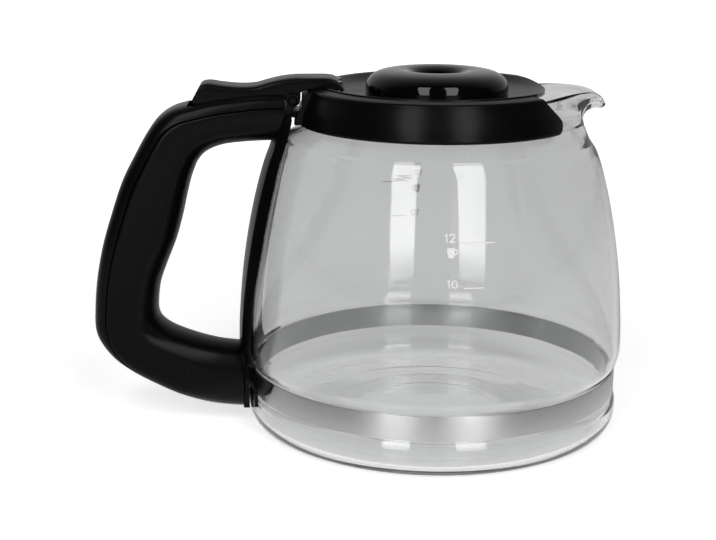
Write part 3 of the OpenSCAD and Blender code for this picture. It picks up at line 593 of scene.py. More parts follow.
# %% [markdown]
# ## The steel band
# The band lies in the groove at the foot of the jug. Its rounded edges matter more than its faces: they
# catch the light as two bright lines, which a plain ring wouldn't show. Its two ends turn back into
# the handle, where a screw pulls them together.

# %% The steel band
SLIT_HALF, BAND_EDGE, BAND_STEPS = 1.2, 0.22, 240
END_REACH, END_Y = 13.1, 1.5
BORE_X, BORE_Z, BORE_R = -84.5, 20.6, 2.1


def make_band():
    slit = degrees(asin(SLIT_HALF / GROOVE_R))
    strip = rectangle((BAND_IN_R, BAND_OUT_R), (BAND_Z, BAND_TOP))
    section = round_corners(strip, BAND_EDGE, 3)
    turns = [180 + slit + (360 - 2 * slit) * k / BAND_STEPS for k in range(BAND_STEPS + 1)]
    return skin("band_strip", [stood_up(section, radians(t)) for t in turns], brushed_band)


def make_band_end(side):
    along = (-GROOVE_R - END_REACH, -GROOVE_R + 0.2)
    end = box("band_end", along, (BAND_Z, BAND_TOP), BAND_T, brushed_band, side * END_Y)
    bore = side_block("bore", circle((BORE_X, BORE_Z), BORE_R, 24), 8, brushed_band)
    return cut(end, bore)


band_strip = make_band()
for side in (-1, 1):
    cut(band_strip, make_band_end(side), "UNION")
place(band_strip, "jug", "steel_band")

# %% [markdown]
# ## The handle
# The grip is a loft: a rounded section swept from the hinge round to the foot. It is moulded in two
# shells, so the section is split along a line that follows the outer edge, and each half gets a small
# round edge. That gives the long thin shadow between the shells, which a drawn line wouldn't.

# %% Stations of the handle
# Outer and inner edge, as shares of the reach and the height, and share of the width
HANDLE_SHARES = [
    (-0.32, 1, -0.32, 0.857, 1), (-0.127, 0.9985, -0.143, 0.855, 1), (0.032, 0.991, 0.008, 0.851, 1),
    (0.19, 0.981, 0.133, 0.843, 1), (0.333, 0.966, 0.232, 0.824, 1), (0.452, 0.95, 0.289, 0.797, 1.01),
    (0.543, 0.921, 0.321, 0.765, 1.02), (0.616, 0.876, 0.343, 0.736, 1.03),
    (0.693, 0.813, 0.371, 0.685, 1.04), (0.776, 0.738, 0.4, 0.627, 1.05),
    (0.851, 0.641, 0.444, 0.557, 1.05), (0.916, 0.543, 0.508, 0.483, 1.05),
    (0.961, 0.441, 0.555, 0.423, 1.04), (0.982, 0.343, 0.574, 0.363, 1.02),
    (0.981, 0.281, 0.572, 0.328, 1), (0.94, 0.234, 0.544, 0.303, 0.98),
    (0.858, 0.186, 0.481, 0.282, 0.96), (0.744, 0.146, 0.395, 0.265, 0.94),
    (0.587, 0.105, 0.302, 0.251, 0.92), (0.419, 0.069, 0.214, 0.241, 0.9),
    (0.206, 0.042, 0.127, 0.234, 0.89), (-0.06, 0.03, -0.06, 0.226, 0.88),
]
HANDLE_REACH, HANDLE_W, COVER_T = 63.0, 27.4, 5.5
HINGE = Vector((-57.9, 134.6))
HANDLE_TOP = HINGE.y + 2.6
FINE = 8
COVER_STATIONS, COVER_END, COVER_FADE = 17, 0.3, 4.0


def handle_line(column):
    x, z = column, column + 1
    points = [(-(GLASS_R + HANDLE_REACH * s[x]), HANDLE_TOP * s[z]) for s in HANDLE_SHARES]
    return round_curve(points, FINE)


outer_line, inner_line = handle_line(0), handle_line(2)
half_line = [p.x for p in round_curve([(s[4] * HANDLE_W / 2, 0) for s in HANDLE_SHARES], FINE)]
cover_last, handle_last = COVER_STATIONS * FINE, len(outer_line) - 1
print("stations:", len(outer_line), "seam ends at", [round(v, 1) for v in outer_line[cover_last]])

# %% Sections of the handle
OUTER_POWER, OUTER_POWER_END, INNER_POWER = 4, 2.5, 2.4
SEAM_EDGE, BODY_SWELL = 0.45, 0.5
WHOLE_STEPS, SHELL_STEPS, SEAM_STEPS = 72, 59, 12


def blunt(v, power):
    """A sine or cosine, flattened so that its loop nears a rectangle."""
    return copysign(abs(v) ** (2 / power), v)


def seam_depth(i):
    return COVER_T * min(1.0, COVER_END + (COVER_STATIONS - i / FINE) / COVER_FADE)


def handle_section(i, part):
    """Depth below the outer edge and half width, for one shell or for the whole."""
    deep = (outer_line[i] - inner_line[i]).length
    half = half_line[i] + (0.0 if part == "cover" else BODY_SWELL)
    t = max(0.0, i / handle_last - 0.5) * 2
    outer_power = OUTER_POWER + (OUTER_POWER_END - OUTER_POWER) * t

    def at(turn):
        power = outer_power if cos(turn) > 0 else INNER_POWER
        depth = deep / 2 * (1 - blunt(cos(turn), power))
        return Vector((depth, half * blunt(sin(turn), power)))

    if part == "whole":
        return [at(2 * pi * (k + 0.5) / WHOLE_STEPS) for k in range(WHOLE_STEPS)]
    split = seam_depth(i) + (0 if part == "cover" else SEAT_GAP)
    share = 1 - 2 * split / deep
    power = outer_power if share > 0 else INNER_POWER
    turn = acos(blunt(share, 4 / power)) if abs(share) < 1 else 0
    start, end = (-turn, turn) if part == "cover" else (turn, 2 * pi - turn)
    loop = [at(t) for t in spread(start, end, SHELL_STEPS)]
    inward = -1 if part == "cover" else 1

    def fillet(corner):
        """A small round edge where the skin turns into the seam."""
        across = -copysign(1, corner.y) * SEAM_EDGE
        points = []
        for bend in spread(0, pi / 2, 4)[1:]:
            step = (inward * SEAM_EDGE * (1 - sin(bend)), across * (1 - cos(bend)))
            points.append(corner + Vector(step))
        return points

    loop = fillet(loop[0])[::-1] + loop[1:-1] + fillet(loop[-1])
    return loop + [loop[-1].lerp(loop[0], k / SEAM_STEPS) for k in range(1, SEAM_STEPS)]


def inward_at(i):
    """Direction from the outer edge to the inner one at a station."""
    return (inner_line[i] - outer_line[i]).normalized()


def section_ring(i, part):
    ring = []
    for p in handle_section(i, part):
        at = outer_line[i] + inward_at(i) * p.x
        ring.append((at.x, p.y, at.y))
    return ring


# %% Sizes at the hinge and at the spine
LEVER_L, LEVER_W, LEVER_DEPTH, LID_OPEN = 40.0, 18.0, 8.5, radians(20)
KNUCKLE_R, EAR_R, EAR_T, EAR_Y = 3, 2.6, 3.0, LEVER_W / 2 + 0.4
TONGUE_T = 2.6
TONGUE_Z = HINGE.y - KNUCKLE_R - 1.8 - TONGUE_T
LEAN_Z, SPINE_TOP, SPINE_T = GLASS_H - 23, HINGE.y - 5.6, 2.5
SPINE_LOW, PLATE_LOW = 6.0, 18.0
SPINE_FOOT_R = FOOT_OUT_R + SEAT_GAP
SPINE_HEAD_R = -HINGE.x + 2.4
NEAR_AXIS, FAR_OVER = 0.01, 205


def spine_in_at(z):
    """Inner radius of the spine: it follows the foot, the band and the glass."""
    if z < PLATE_LOW:
        return SPINE_FOOT_R
    if z < BAND_TOP + 1:
        return BAND_OUT_R + SEAT_GAP
    if z < LEAN_Z:
        return glass_at(z) + SEAT_GAP
    start = glass_at(LEAN_Z) + SEAT_GAP
    lean = SPINE_HEAD_R + (start - SPINE_HEAD_R) * (SPINE_TOP - z) / (SPINE_TOP - LEAN_Z)
    return max(glass_at(min(z, SHOULDER_Z)) + SEAT_GAP, lean)


def spine_out_at(z):
    return SPINE_T + max(spine_in_at(z), SPINE_FOOT_R if z < BAND_TOP + 2 else 0)


def spine_space():
    """What the spine and all inside it fill, to cut it out of the shells."""
    head_r = hypot(HINGE.x - EAR_R - SEAT_GAP, HANDLE_W / 2)
    levels = spread(-1, LEAN_Z, 40)[:-1] + spread(LEAN_Z, SPINE_TOP, 10)
    profile = [(NEAR_AXIS, -1)] + [(spine_out_at(z) + 0.1, z) for z in levels]
    profile += [(head_r, SPINE_TOP), (head_r, FAR_OVER), (NEAR_AXIS, FAR_OVER)]
    return turned("space", profile)


# %% The lever's outline and its trough
# Upper and lower edge from the lid outwards, as shares of the length and the depth
LEVER_SHARES = [
    (-0.515, 0.46, -0.51, 0.41), (-0.46, 0.8, -0.46, 0.41), (-0.4, 0.96, -0.4, 0.41),
    (-0.32, 1.01, -0.32, 0.41), (-0.185, 1.01, -0.13, 0.41), (-0.1, 1.01, -0.075, 0.3),
    (0, 1, 0, 0), (0.13, 0.92, 0.14, -0.07), (0.265, 0.765, 0.265, -0.21), (0.38, 0.62, 0.38, -0.31),
    (0.53, 0.585, 0.53, -0.35), (0.705, 0.655, 0.73, -0.35), (0.82, 0.735, 0.885, -0.33),
    (0.89, 0.71, 0.985, -0.28), (0.925, 0.62, 1.02, -0.2),
]
TROUGH_GAP, TROUGH_START = 1.2, 9


def lever_points(first):
    points = [(-s[first] * LEVER_L, s[first + 1] * LEVER_DEPTH) for s in LEVER_SHARES]
    return [HINGE + Vector(p) for p in points]


def pressed(p):
    """Where a point of the lever goes when the lid is open."""
    return HINGE + Matrix.Rotation(LID_OPEN, 2) @ (p - HINGE)


def trough():
    """The space over the arm that the lever sinks into."""
    under = [pressed(p) - Vector((0, TROUGH_GAP)) for p in lever_points(2)[TROUGH_START:]]
    start_x, knuckle_x, over = HINGE.x + EAR_R, HINGE.x - 8.3, 275
    end_x = HINGE.x - LEVER_L * 1.02 - TROUGH_GAP
    outline = [(start_x, TONGUE_Z), (knuckle_x, TONGUE_Z)] + under
    outline += [(end_x, under[-1].y), (end_x, over), (start_x, over)]
    return side_block("space", outline, LEVER_W + 0.8)


# %% The two shells of the handle
RIB_START, RIB_END, RIB_REACH, RIB_HALF = 5, 16, 1.0, 4.0


def make_rib():
    """A rib behind the seam, so that no light falls through."""
    rings = []
    for i in range(RIB_START * FINE, RIB_END * FINE + 1):
        depths = (seam_depth(i) + d for d in (-RIB_REACH, SEAT_GAP + RIB_REACH))
        out, back = (outer_line[i] + inward_at(i) * depth for depth in depths)
        corners = ((out, -RIB_HALF), (out, RIB_HALF), (back, RIB_HALF), (back, -RIB_HALF))
        rings.append([(p.x, y, p.y) for p, y in corners])
    return skin("seam_rib", rings)


def make_cover():
    cover = skin("grip_shell", [section_ring(i, "cover") for i in range(cover_last + 1)])
    cut(cover, make_rib(), "UNION")
    return cut(cut(cover, spine_space()), trough())


def make_grip():
    grip = skin("grip_core", [section_ring(i, "body") for i in range(cover_last + 1)])
    foot = skin("foot", [section_ring(i, "whole") for i in range(cover_last, handle_last + 1)])
    cut(grip, foot, "UNION")
    return cut(cut(grip, spine_space()), trough())


place(make_cover(), "jug", "handle_cover")
place(make_grip(), "jug", "handle_body")

# %% [markdown]
# ## The spine
# A moulded plate follows the back of the glass and carries the handle. It is a skin of level slices,
# because its width and its radius change at every height. Two wings over the band and two ears for the
# hinge pin are joined on.

# %% The plate of the spine
SPINE_SHARES = [
    (0, 0.78), (0.15, 0.84), (0.3, 0.84), (0.42, 0.93), (0.54, 0.98), (0.64, 0.97), (0.75, 0.925),
    (0.818, 0.86), (0.893, 0.8), (0.933, 0.775), (0.971, 0.73), (0.986, 0.69), (1, 0.6),
]
SPINE_HALF, SPINE_FOOT_HALF, SLOPE, SLICE_EDGE, ACROSS = 26, 11.0, 0.48, 0.4, 24
SPINE_WIDTHS = [(PLATE_LOW + s * (SPINE_TOP - PLATE_LOW), w * SPINE_HALF) for s, w in SPINE_SHARES]


def spine_half_at(z):
    return SPINE_FOOT_HALF if z < PLATE_LOW else smooth_at(SPINE_WIDTHS, z)


def spine_row(z):
    """A level slice of the plate, narrower outside, with soft corners."""
    ri, ro, w = spine_in_at(z), spine_out_at(z), spine_half_at(z)
    slope_w = w - (w - EAR_Y - EAR_T) * SLOPE - EAR_T / 4
    outer, inner = asin(slope_w / ro), asin(w / ri)
    polar = [Vector((ro, pi - outer + 2 * outer * k / ACROSS)) for k in range(ACROSS + 1)]
    polar += [Vector((ri, pi + inner - 2 * inner * k / ACROSS)) for k in range(ACROSS + 1)]
    loop = [Vector((p.x * cos(p.y), p.x * sin(p.y))) for p in polar]
    soft = []
    for k, p in enumerate(loop):
        if k in (0, ACROSS, ACROSS + 1, 2 * ACROSS + 1):
            before, after = loop[k - 1] - p, loop[(k + 1) % len(loop)] - p
            start = p + before.normalized() * SLICE_EDGE
            end = p + after.normalized() * SLICE_EDGE
            soft += [start, start * 0.25 + p * 0.5 + end * 0.25, end]
        else:
            soft.append(p)
    return [(p.x, p.y, z) for p in soft]


def spine_levels():
    levels = [SPINE_LOW, PLATE_LOW - 0.1, PLATE_LOW, 20.6, BAND_TOP, BAND_TOP + 0.5]
    return levels + spread(27, LEAN_Z, 60)[:-1] + spread(LEAN_Z, SPINE_TOP, 24)


# %% Wings, prongs and ears of the spine
WING_TOP, WING_T = BAND_TOP + 0.6, 1.2
WING = [(11, WING_TOP), (38.5, WING_TOP), (34.2, 19.6), (26, 20.2), (11, 20.2)]
PRONG = [(24.6, 20.6), (24.6, 12.2), (25.1, 11.7), (26.1, 11.7), (26.6, 12.2), (26.6, 20.6)]


def back_part(radius, outline, side):
    """Part of a ring behind the glass, trimmed to an outline in Y and Z."""
    low, high = min(z for y, z in outline), max(z for y, z in outline)
    ring = turned("ring", rectangle((radius, radius + WING_T), (low, high)))
    block = skin("block", [[(x, side * y, z) for y, z in outline] for x in (-160, -20)])
    return cut(ring, block, "INTERSECT")


def ear_outline():
    turns = [radians(t) for t in range(-30, 181, 15)]
    ear = [HINGE + Vector((EAR_R * cos(t), EAR_R * sin(t))) for t in turns]
    out_x, in_x = -spine_out_at(SPINE_TOP) + 2, -spine_in_at(SPINE_TOP) + 0.5
    ear += [HINGE + Vector((-EAR_R, -EAR_R)), (out_x, SPINE_TOP), (out_x, TONGUE_Z - EAR_T)]
    return ear + [(in_x, TONGUE_Z - EAR_T), (in_x, SPINE_TOP)]


def make_spine():
    spine = skin("back_spine", [spine_row(z) for z in spine_levels()])
    for side in (-1, 1):
        cut(spine, back_part(BAND_OUT_R + SEAT_GAP + 0.1, WING, side), "UNION")
        cut(spine, back_part(SPINE_FOOT_R, PRONG, side), "UNION")
        middle = side * (EAR_Y + EAR_T / 2)
        cut(spine, side_block("ear", ear_outline(), EAR_T, middle=middle), "UNION")
    cut(spine, box("notch", (-78, -1), (TONGUE_Z - 0.3, 200), 2 * EAR_Y - 0.2))
    return cut(spine, box("slot", (-83, -73), (15.4, 25.8), 4.2))


place(make_spine(), "jug", "handle_spine")

# %% [markdown]
# ## The collar
# The collar is a ring that stops on both sides of the lip. It is turned first, with a ledge inside for
# the lid, and then its ends are cut on a slanting line. A block at the back fills the space up to the
# lever, and a tongue hooks over the spine.

# %% Sizes of the collar
COLLAR_LOW_R, COLLAR_TOP_R, LID_R, NECK_GAP = 55.9, 51.9, 46.9, 0.5
FLANGE_R, LEDGE_R, LEDGE_Z = LID_R + 0.7, LID_R - 1.1, COLLAR_TOP - 1.3
EDGE_Z, RING_STEPS = COLLAR_TOP - 1.4, 240
BULGE_R = NECK_R + OUTER_NECK[0][1] * GLASS_T
NECK_LINE = [
    (NECK_R + s[1] * GLASS_T + NECK_GAP, GLASS_H - s[0] * NECK_H + NECK_GAP) for s in OUTER_NECK[1:4]
]
END_ANGLE = 38
# The line of an end: angle from the lip's middle and share of the collar's height
END_SHARES = [
    (43, 1.1), (42.6, 0.97), (38.1, 0.66), (33.4, 0.36), (33, 0.26), (33.3, 0.17), (34.2, 0.09),
    (35.8, 0.03), (38.5, -0.1),
]


# %% Parts of the collar
def collar_ring():
    wall = round_curve([
        (COLLAR_LOW_R, COLLAR_Z + 0.6), (COLLAR_LOW_R - 1.1, COLLAR_Z + COLLAR_H * 0.4),
        (COLLAR_TOP_R + 0.5, COLLAR_Z + COLLAR_H * 0.78), (COLLAR_TOP_R, EDGE_Z),
    ], 8)
    edge = round_corners([
        (COLLAR_TOP_R, EDGE_Z), (COLLAR_TOP_R - 0.7, COLLAR_TOP - 0.7), (FLANGE_R, COLLAR_TOP),
    ], 0.8, 5, closed=False)
    profile = [(BULGE_R + NECK_GAP, COLLAR_Z), (COLLAR_LOW_R - 0.5, COLLAR_Z)]
    profile += [(COLLAR_LOW_R - 0.15, COLLAR_Z + 0.15)] + wall + edge[1:]
    profile += [(FLANGE_R, LEDGE_Z), (LEDGE_R, LEDGE_Z), (LEDGE_R, GLASS_H + 0.3)]
    profile += [(NECK_R + NECK_GAP, GLASS_H + 0.3)] + NECK_LINE[::-1]
    return turned("neck_ring", profile, steps=RING_STEPS)


def collar_block():
    """The block at the back, with room for the neck."""
    in_x, out_x = -NECK_R + 1, HINGE.x + KNUCKLE_R + 0.4
    block = round_corners([
        (in_x, COLLAR_Z + 0.5), (HINGE.x + 0.8, COLLAR_Z + 0.5), (HINGE.x + 0.3, COLLAR_Z + 1),
        (out_x, HINGE.y - 2.6), (out_x, HINGE.y + 1.6), (-COLLAR_TOP_R, EDGE_Z), (in_x, EDGE_Z),
    ], 0.7, 4)
    block = side_block("block", block, 2 * (EAR_Y + EAR_T))
    gap = NECK_GAP + 0.1
    bulge_r, neck_r = BULGE_R + gap, NECK_R + gap
    room = [(NEAR_AXIS, COLLAR_Z - 1), (bulge_r, COLLAR_Z - 1), (bulge_r, COLLAR_Z)]
    room += [(r + 0.1, z) for r, z in NECK_LINE]
    room += [(neck_r, GLASS_H), (neck_r, COLLAR_TOP), (NEAR_AXIS, COLLAR_TOP)]
    return cut(block, turned("room", room, steps=RING_STEPS))


def collar_tongue():
    hook_z = TONGUE_Z - 3.2
    hook_x = -spine_out_at(hook_z) - 1.3
    tongue = [(-COLLAR_TOP_R, TONGUE_Z), (-COLLAR_TOP_R, TONGUE_Z + TONGUE_T)]
    tongue += [(hook_x, TONGUE_Z + TONGUE_T), (hook_x, hook_z), (hook_x + 1, hook_z)]
    return side_block("tongue", tongue + [(-spine_out_at(TONGUE_Z) - 0.3, TONGUE_Z)], 14)


def end_cutter(side):
    """What is cut away on one side of the lip."""
    points = []
    for a, share in END_SHARES:
        across = COLLAR_LOW_R * sin(radians(a - END_ANGLE))
        points.append((across, COLLAR_Z + share * COLLAR_H))
    line = round_curve(points, 3) + [(-112, COLLAR_Z - 1), (-112, COLLAR_TOP + 1)]
    t = radians(END_ANGLE)
    out = Vector((cos(t), side * sin(t), 0))
    across = Vector((-sin(t), side * cos(t), 0))
    return skin("end", [
        [out * reach + across * y + Vector((0, 0, z)) for y, z in line] for reach in (28, 112)
    ])


# %% The collar
def make_collar():
    collar = collar_ring()
    cut(collar, collar_block(), "UNION")
    cut(collar, collar_tongue(), "UNION")
    for side in (-1, 1):
        cut(collar, end_cutter(side))
    seat_z = HINGE.y + 0.41 * LEVER_DEPTH - 0.1
    return cut(collar, box("seat", (-57, -29), (seat_z, 155), 2 * EAR_Y))


place(make_collar(), "jug", "neck_collar")

# %% [markdown]
# ## The thumb lever
# The lever is another loft, hollowed on top for the thumb and flatter than the handle. Its inner end
# lies on the lid, and a round knuckle under it turns on the hinge pin.

# %% The thumb lever
LEVER_TOP_POWER, LEVER_LOW_POWER, LEVER_STEPS, KNUCKLE_W = 5.5, 11, 64, 17.8


def lever_ring(top, low):
    ring = []
    for k in range(LEVER_STEPS):
        t = 2 * pi * (k + 0.5) / LEVER_STEPS
        power = LEVER_TOP_POWER if cos(t) > 0 else LEVER_LOW_POWER
        p = (top + low) / 2 + (top - low) / 2 * blunt(cos(t), power)
        ring.append((p.x, LEVER_W / 2 * blunt(sin(t), power), p.y))
    return ring


def make_lever():
    over, under = round_curve(lever_points(0), 6), round_curve(lever_points(2), 6)
    lever = skin("thumb_paddle", [lever_ring(top, low) for top, low in zip(over, under)])
    return cut(lever, side_block("knuckle", circle(HINGE, KNUCKLE_R, 48), KNUCKLE_W), "UNION")


place(make_lever(), "lid", "thumb_lever")

# %% [markdown]
# ## The lid
# The lid plate is dished, so that coffee runs to the hole in the middle, and its front is a beak that
# closes the pouring lip. The dome over the hole is a separate, polished cap with a funnel in it. Both
# are round, so they are turned, and only the plate's front and back are cut.

# %% Sizes of the lid
LID_SEAT_Z, PLATE_T, DISH_DEPTH = LEDGE_Z + 0.2, 1.7, 3.4
LID_TOP = LID_SEAT_Z + PLATE_T
DISH_Z = LID_TOP - DISH_DEPTH
DOME_R, DOME_H, DOME_T = 28.8, 9.3, 1.8
SPIGOT_R = DOME_R - 1.2
DISH = [(0, 0), (0.1, 0.06), (0.22, 0.3), (0.45, 0.72), (0.7, 0.94), (0.9, 1), (1, 1)]
DOME = [
    (0.995, 0), (1, 0.1), (0.995, 0.34), (0.968, 0.56), (0.9, 0.77), (0.8, 0.91), (0.66, 0.985),
    (0.52, 1), (0.41, 0.95), (0.33, 0.82), (0.27, 0.6),
]


def dish_at(r):
    share = min(1, max(0, (LID_R - r) / (LID_R - DOME_R)))
    return LID_TOP - DISH_DEPTH * smooth_at(DISH, share)


# %% The lid plate
RIM_R, SKIRT_R, SKIRT_LOW = LEDGE_R - 2.2, LEDGE_R - 0.6, LID_SEAT_Z - 7
POUR_X, BEAK_X, BEAK_R = 0.66 * LID_R, 43, 67


def plate_ring():
    rs = spread(LID_R - 0.9, SPIGOT_R, 40)
    profile = [(LID_R, LID_SEAT_Z), (LID_R, LID_TOP - 0.5)]
    profile += [(LID_R - 0.15, LID_TOP - 0.15), (LID_R - 0.5, LID_TOP)]
    profile += [(r, dish_at(r)) for r in rs]
    profile += [(r, dish_at(r) - PLATE_T) for r in reversed(rs) if r < RIM_R - 0.5]
    profile += [(RIM_R, LID_SEAT_Z - 0.5), (RIM_R, SKIRT_LOW)]
    return turned("lid_disc", profile + [(SKIRT_R, SKIRT_LOW), (SKIRT_R, LID_SEAT_Z)], steps=RING_STEPS)


def skirt_part():
    """The part of the skirt at the pouring side, where the coffee has to pass."""
    in_r, out_r, low = RIM_R - 0.02, SKIRT_R + 1, LID_SEAT_Z - 8
    profile = [(in_r, low), (out_r, low), (out_r, LID_SEAT_Z - 0.01), (in_r, LID_SEAT_Z - 0.5)]
    part = turned("skirt_part", profile, steps=RING_STEPS)
    return cut(part, box("pour", (POUR_X, POUR_X + 60), (100, 150), 120), "INTERSECT")


def make_plate():
    plate = plate_ring()
    cut(plate, skirt_part())
    beak = circle((BEAK_X - BEAK_R, 0), BEAK_R, 240)
    cut(plate, skin("beak", [[(x, y, z) for x, y in beak] for z in (100, 170)]), "INTERSECT")
    cut(plate, box("back", (-90, -45), (100, 170), 120))
    tail = HINGE + Vector((0.51 * LEVER_L, 0.41 * LEVER_DEPTH))
    return cut(plate, box("lever_room", (-90, tail.x + 0.1), (tail.y, 150), LEVER_W + 0.2))


place(make_plate(), "lid", "lid_plate")

# %% The dome
DRIP_R, FUNNEL_T = 6.0, 1.44


def make_dome():
    outside = round_curve([(DOME_R * r, DISH_Z + DOME_H * z) for r, z in DOME], 8)
    inside = []
    for r, z in DOME:
        if 0.3 < r < 0.98:
            side, middle = 0.8 if r > 0.6 else 0, 0.9 if r < 0.45 else 0
            shell_r = DOME_R * r - DOME_T * side + DOME_T * middle
            inside.append((shell_r, DISH_Z + DOME_H * z - DOME_T))
    spigot_r, top, low = SPIGOT_R - 0.1, DISH_Z + 2.8, DISH_Z - 8.5
    profile = [(spigot_r, DISH_Z - 2.3), (spigot_r, DISH_Z)] + outside
    profile += [(DRIP_R, top), (DRIP_R, low), (DRIP_R + FUNNEL_T, low), (DRIP_R + FUNNEL_T, top)]
    profile += inside[::-1]
    profile += [(spigot_r - FUNNEL_T, DISH_Z + 2.3), (spigot_r - FUNNEL_T, DISH_Z - 2.3)]
    return turned("lid_cap", profile, black_gloss, steps=256)


place(make_dome(), "lid", "lid_dome")

# %% [markdown]
# ## The pieces that stay as they are
# The screws, the nut, the pin and the funnel under the lid are plain and mostly hidden. New meshes
# would show nothing more, so they keep their solids and only get a finish.

# %% Finishes of the solids that stay
STAY = {
    "band_screw": screw_steel, "band_nut": screw_steel, "grip_screws": screw_steel,
    "lever_screws": screw_steel, "hinge_pin": black_satin, "lid_baffle": black_satin,
}
for node, material in STAY.items():
    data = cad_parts[node].data
    data.materials.clear()
    data.materials.append(material)
print("solids with a new finish:", sorted(STAY))

# %% [markdown]
# ## The marks on the glass
# The jug has a scale for the number of cups, printed in thin white enamel. A font would be quicker, but
# its digits aren't the scale's. So each mark is a flat outline that is wrapped round the glass.


# %% White enamel
def enamel_surface(graph, spot):
    wear = graph.noise(spot, scale=1500.0, detail=4.0)
    return {"Alpha": (0.55 + wear * 0.6).at_most(1.0), "Roughness": 0.45 + wear * 0.2}


enamel = finish_of("white_enamel", enamel_surface, {"Base Color": grey(0.86)})

# %% Strokes and signs
INK, MARK_LIFT = 0.42, 0.04


def stroke(line, width=INK):
    """A flat ribbon along the line, as points and faces."""
    line = [Vector(p) for p in line]
    points = []
    for i, p in enumerate(line):
        along = (line[min(i + 1, len(line) - 1)] - line[max(i - 1, 0)]).normalized()
        side = Vector((-along.y, along.x)) * width / 2
        points += [p + side, p - side]
    return points, [(2 * k, 2 * k + 1, 2 * k + 3, 2 * k + 2) for k in range(len(line) - 1)]


def moved(part, x):
    return [p + Vector((x, 0)) for p in part[0]], part[1]


def combine(*parts):
    points, faces = [], []
    for part_points, part_faces in parts:
        start = len(points)
        points += part_points
        faces += [tuple(start + i for i in face) for face in part_faces]
    return points, faces


def level_line(length, width):
    return stroke([(x, 0) for x in spread(0, length, 8)], width)


# %% The digits, the cup and the places of the marks
ONE = combine(stroke([(0.3, 2.35), (1.05, 3.0)]), stroke([(1.0, 3.05), (1.0, 0)]))
TWO_BOW = [(0.15, 2.25), (0.45, 2.8), (1.05, 3.0), (1.75, 2.75), (1.9, 2.1), (1.45, 1.4), (0.2, 0.2)]
TWO = combine(stroke(round_curve(TWO_BOW, 4)), stroke([(0.05, 0.2), (2.05, 0.2)]))
ZERO = stroke([(1.1 + 0.98 * sin(t), 1.5 - 1.35 * cos(t)) for t in spread(0, 2 * pi, 24)])
CUP_SIDE, CUP_W = [(0.0, 3.7), (0.05, 2.4), (0.3, 0.9), (0.55, 0.0)], 2.9
CUP_BODY = [Vector(p) for p in CUP_SIDE] + [Vector((CUP_W - x, z)) for x, z in CUP_SIDE]
CUP_GRIP = [(2.75, 3.1), (3.5, 2.95), (3.75, 2.3), (3.45, 1.6), (2.7, 1.2)]
CUP = combine(
    (CUP_BODY, [(k, k + 1, k + 5, k + 4) for k in range(3)]), stroke(round_curve(CUP_GRIP, 4)),
)
# Name, shape, azimuth and height of each mark on the near side
MARKS = [
    ("twelve", combine(ONE, moved(TWO, 1.9)), -92.0, 91.4),
    ("twelve_line", level_line(13.7, 0.42), -87.7, 91.1),
    ("cup", CUP, -91.1, 85.8),
    ("ten", combine(ONE, moved(ZERO, 1.9)), -91.2, 74.9),
    ("ten_line", level_line(7.6, 0.4), -86.3, 74.9),
]


# %% The marks
def wrap(name, part, azimuth, level):
    """Bends a flat part round the glass, from its lower left corner."""
    points = []
    for p in part[0]:
        z = level + p.y
        r = glass_at(z) + MARK_LIFT
        t = radians(azimuth) + p.x / r
        points.append((r * cos(t), r * sin(t), z))
    mark = mesh_piece(name, points, part[1], enamel, NO_CREASE)
    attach(mark, "jug")
    print(name, "faces:", len(part[1]))


for side, turn, drop in (("near", 0.0, 0.0), ("far", 181.5, 6.0)):
    for name, part, azimuth, level in MARKS:
        wrap(f"{side}_{name}", part, turn + azimuth, level - drop)

# %% [markdown]
# ## The floor and the studio
# The jug stands on white paper in front of a white backdrop, between two tall lamps with cloth fronts.
# More lamps could light the backdrop, but they would light the glass too. So it glows by itself, and
# the Light Path node tells a ray from the camera from one that was mirrored or came through the glass.
# The backdrop stays white, the glass grey and the plastic black, and the paper takes the shadow.

# %% The floor
FLOOR_HALF = 6
# A hair below the glass, as two faces in one place can't both be seen
FLOOR_Z = -0.00005
# Where the glow changes, in metres from the axis, and how quickly
FAR_FROM, FAR_RATE, GLASS_END, SHADOW_END, END_RATE = 0.25, 2.0, 0.088, 0.11, 60.0


def floor_shader(graph, spot):
    """White paper that glows differently for each kind of ray."""
    seen, through, mirrored = graph.rays()
    surface = graph.node("ShaderNodeBsdfDiffuse", {}, {"Color": grey(0.8)})
    away = graph.node("ShaderNodeVectorMath", {"operation": "LENGTH"}, {0: spot}, out=1)
    far = ((away - FAR_FROM) * FAR_RATE).as_share()
    under = ((GLASS_END - away) * END_RATE).as_share()
    near = ((SHADOW_END - away) * END_RATE).as_share()
    # Far off it glows as much as the backdrop. Under the jug, seen through the glass, it glows
    # brighter: a painted pool of light for the light the glass gathers
    # Near the jug it glows brighter in mirrored rays: a painted reflection that hides its shadow in the
    # glass and the steel
    plain, painted_near_reflection = graph.mix(far, grey(0.62), grey(1)), graph.mix(near, grey(0.1), grey(0.7))
    painted_gathered_light = graph.mix(under, grey(0.37), grey(0.62))
    # A ray that came through smooth glass counts as mirrored too
    glows = ((plain, seen), (painted_near_reflection, mirrored * (1 - through)), (painted_gathered_light, through))
    for colour, strength in glows:
        glow = graph.node("ShaderNodeEmission", {}, {"Color": colour, "Strength": strength})
        surface = graph.node("ShaderNodeAddShader", {}, {0: surface, 1: glow})
    return surface


def make_floor():
    reach = (-FLOOR_HALF, FLOOR_HALF)
    points = [(x, y, FLOOR_Z) for x, y in rectangle(reach, reach)]
    mesh = bpy.data.meshes.new("floor")
    mesh.from_pydata(points, [], [(0, 1, 2, 3)])
    mesh.materials.append(material_of("floor_white", floor_shader))
    put("floor", mesh)


make_floor()

# %% The backdrop
SEEN_THROUGH, ROOM, BACK_LIGHT, TOP_LIGHT, MOST_LIGHT = 0.68, 0.01, 0.5, 0.12, 0.9


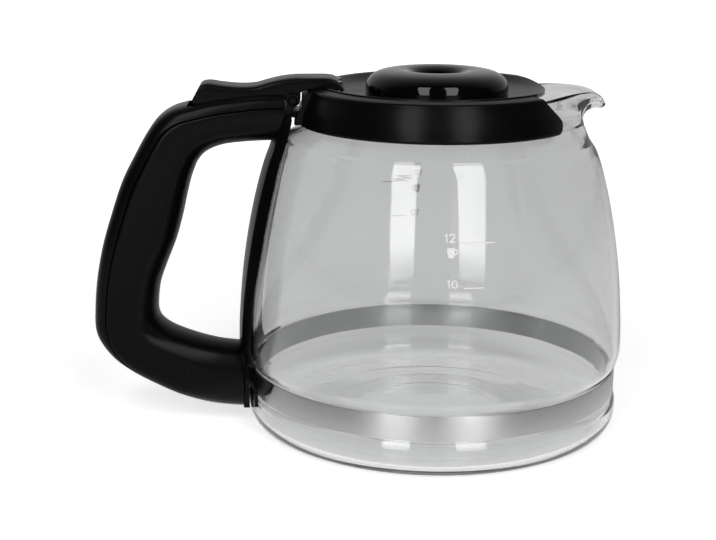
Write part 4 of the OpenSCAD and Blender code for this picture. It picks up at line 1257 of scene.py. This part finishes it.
def make_world():
    """Behind the jug and over it the studio is white, in front of it the room is dark."""
    world = bpy.data.worlds.new("studio")
    bpy.context.scene.world = world
    graph = Graph(world)
    seen, through, _ = graph.rays()
    sky = graph.node("ShaderNodeTexCoord", out="Generated")
    _, back, up = graph.parts(sky)
    soft = ROOM + (back * BACK_LIGHT + up * TOP_LIGHT).at_least(0.0)
    soft = soft.at_most(MOST_LIGHT) * (1 - seen) * (1 - through)
    light = {"Color": grey(1), "Strength": seen + through * SEEN_THROUGH + soft}
    light = graph.node("ShaderNodeBackground", {}, light)
    graph.node("ShaderNodeOutputWorld", {}, {"Surface": light})
    print("backdrop with", len(graph.tree.nodes), "nodes")


make_world()

# %% The two lamps
LAMP_AIM = Vector((0, 0, 0.08))
LAMP_ANGLE, LAMP_DISTANCE, LAMP_TALL = 33, 1.6, 1.9
DIM, BRIGHTENING = 0.15, 7.0


def make_softbox(name, azimuth, width, lean, power):
    """A tall lamp that faces the jug and leans to one side."""
    data = bpy.data.lights.new(name, "AREA")
    data.shape = "RECTANGLE"
    data.size, data.size_y, data.energy = width, LAMP_TALL, power
    lamp = put(name, data)
    t, e = radians(azimuth), radians(LAMP_ANGLE)
    way = Vector((sin(t) * cos(e), -cos(t) * cos(e), sin(e)))
    lamp.location = way * LAMP_DISTANCE + LAMP_AIM
    facing = (lamp.location - LAMP_AIM).to_track_quat("Z", "Y")
    lamp.rotation_euler = (facing @ Quaternion((0, 0, 1), radians(lean))).to_euler()
    # The lowest part is dimmer, where the cloth is far from the tube
    graph = Graph(data)
    spot = graph.node("ShaderNodeNewGeometry", out="Parametric")
    fade = (DIM + graph.parts(spot)[1] * BRIGHTENING).at_most(1.0)
    shine = graph.node("ShaderNodeEmission", {}, {"Color": grey(1), "Strength": fade})
    graph.node("ShaderNodeOutputLight", {}, {"Surface": shine})
    print(name, "at", [round(v, 2) for v in lamp.location])


make_softbox("left_box", azimuth=-27.4, width=0.45, lean=8, power=13)
make_softbox("right_box", azimuth=21.8, width=0.5, lean=-8, power=14.2)
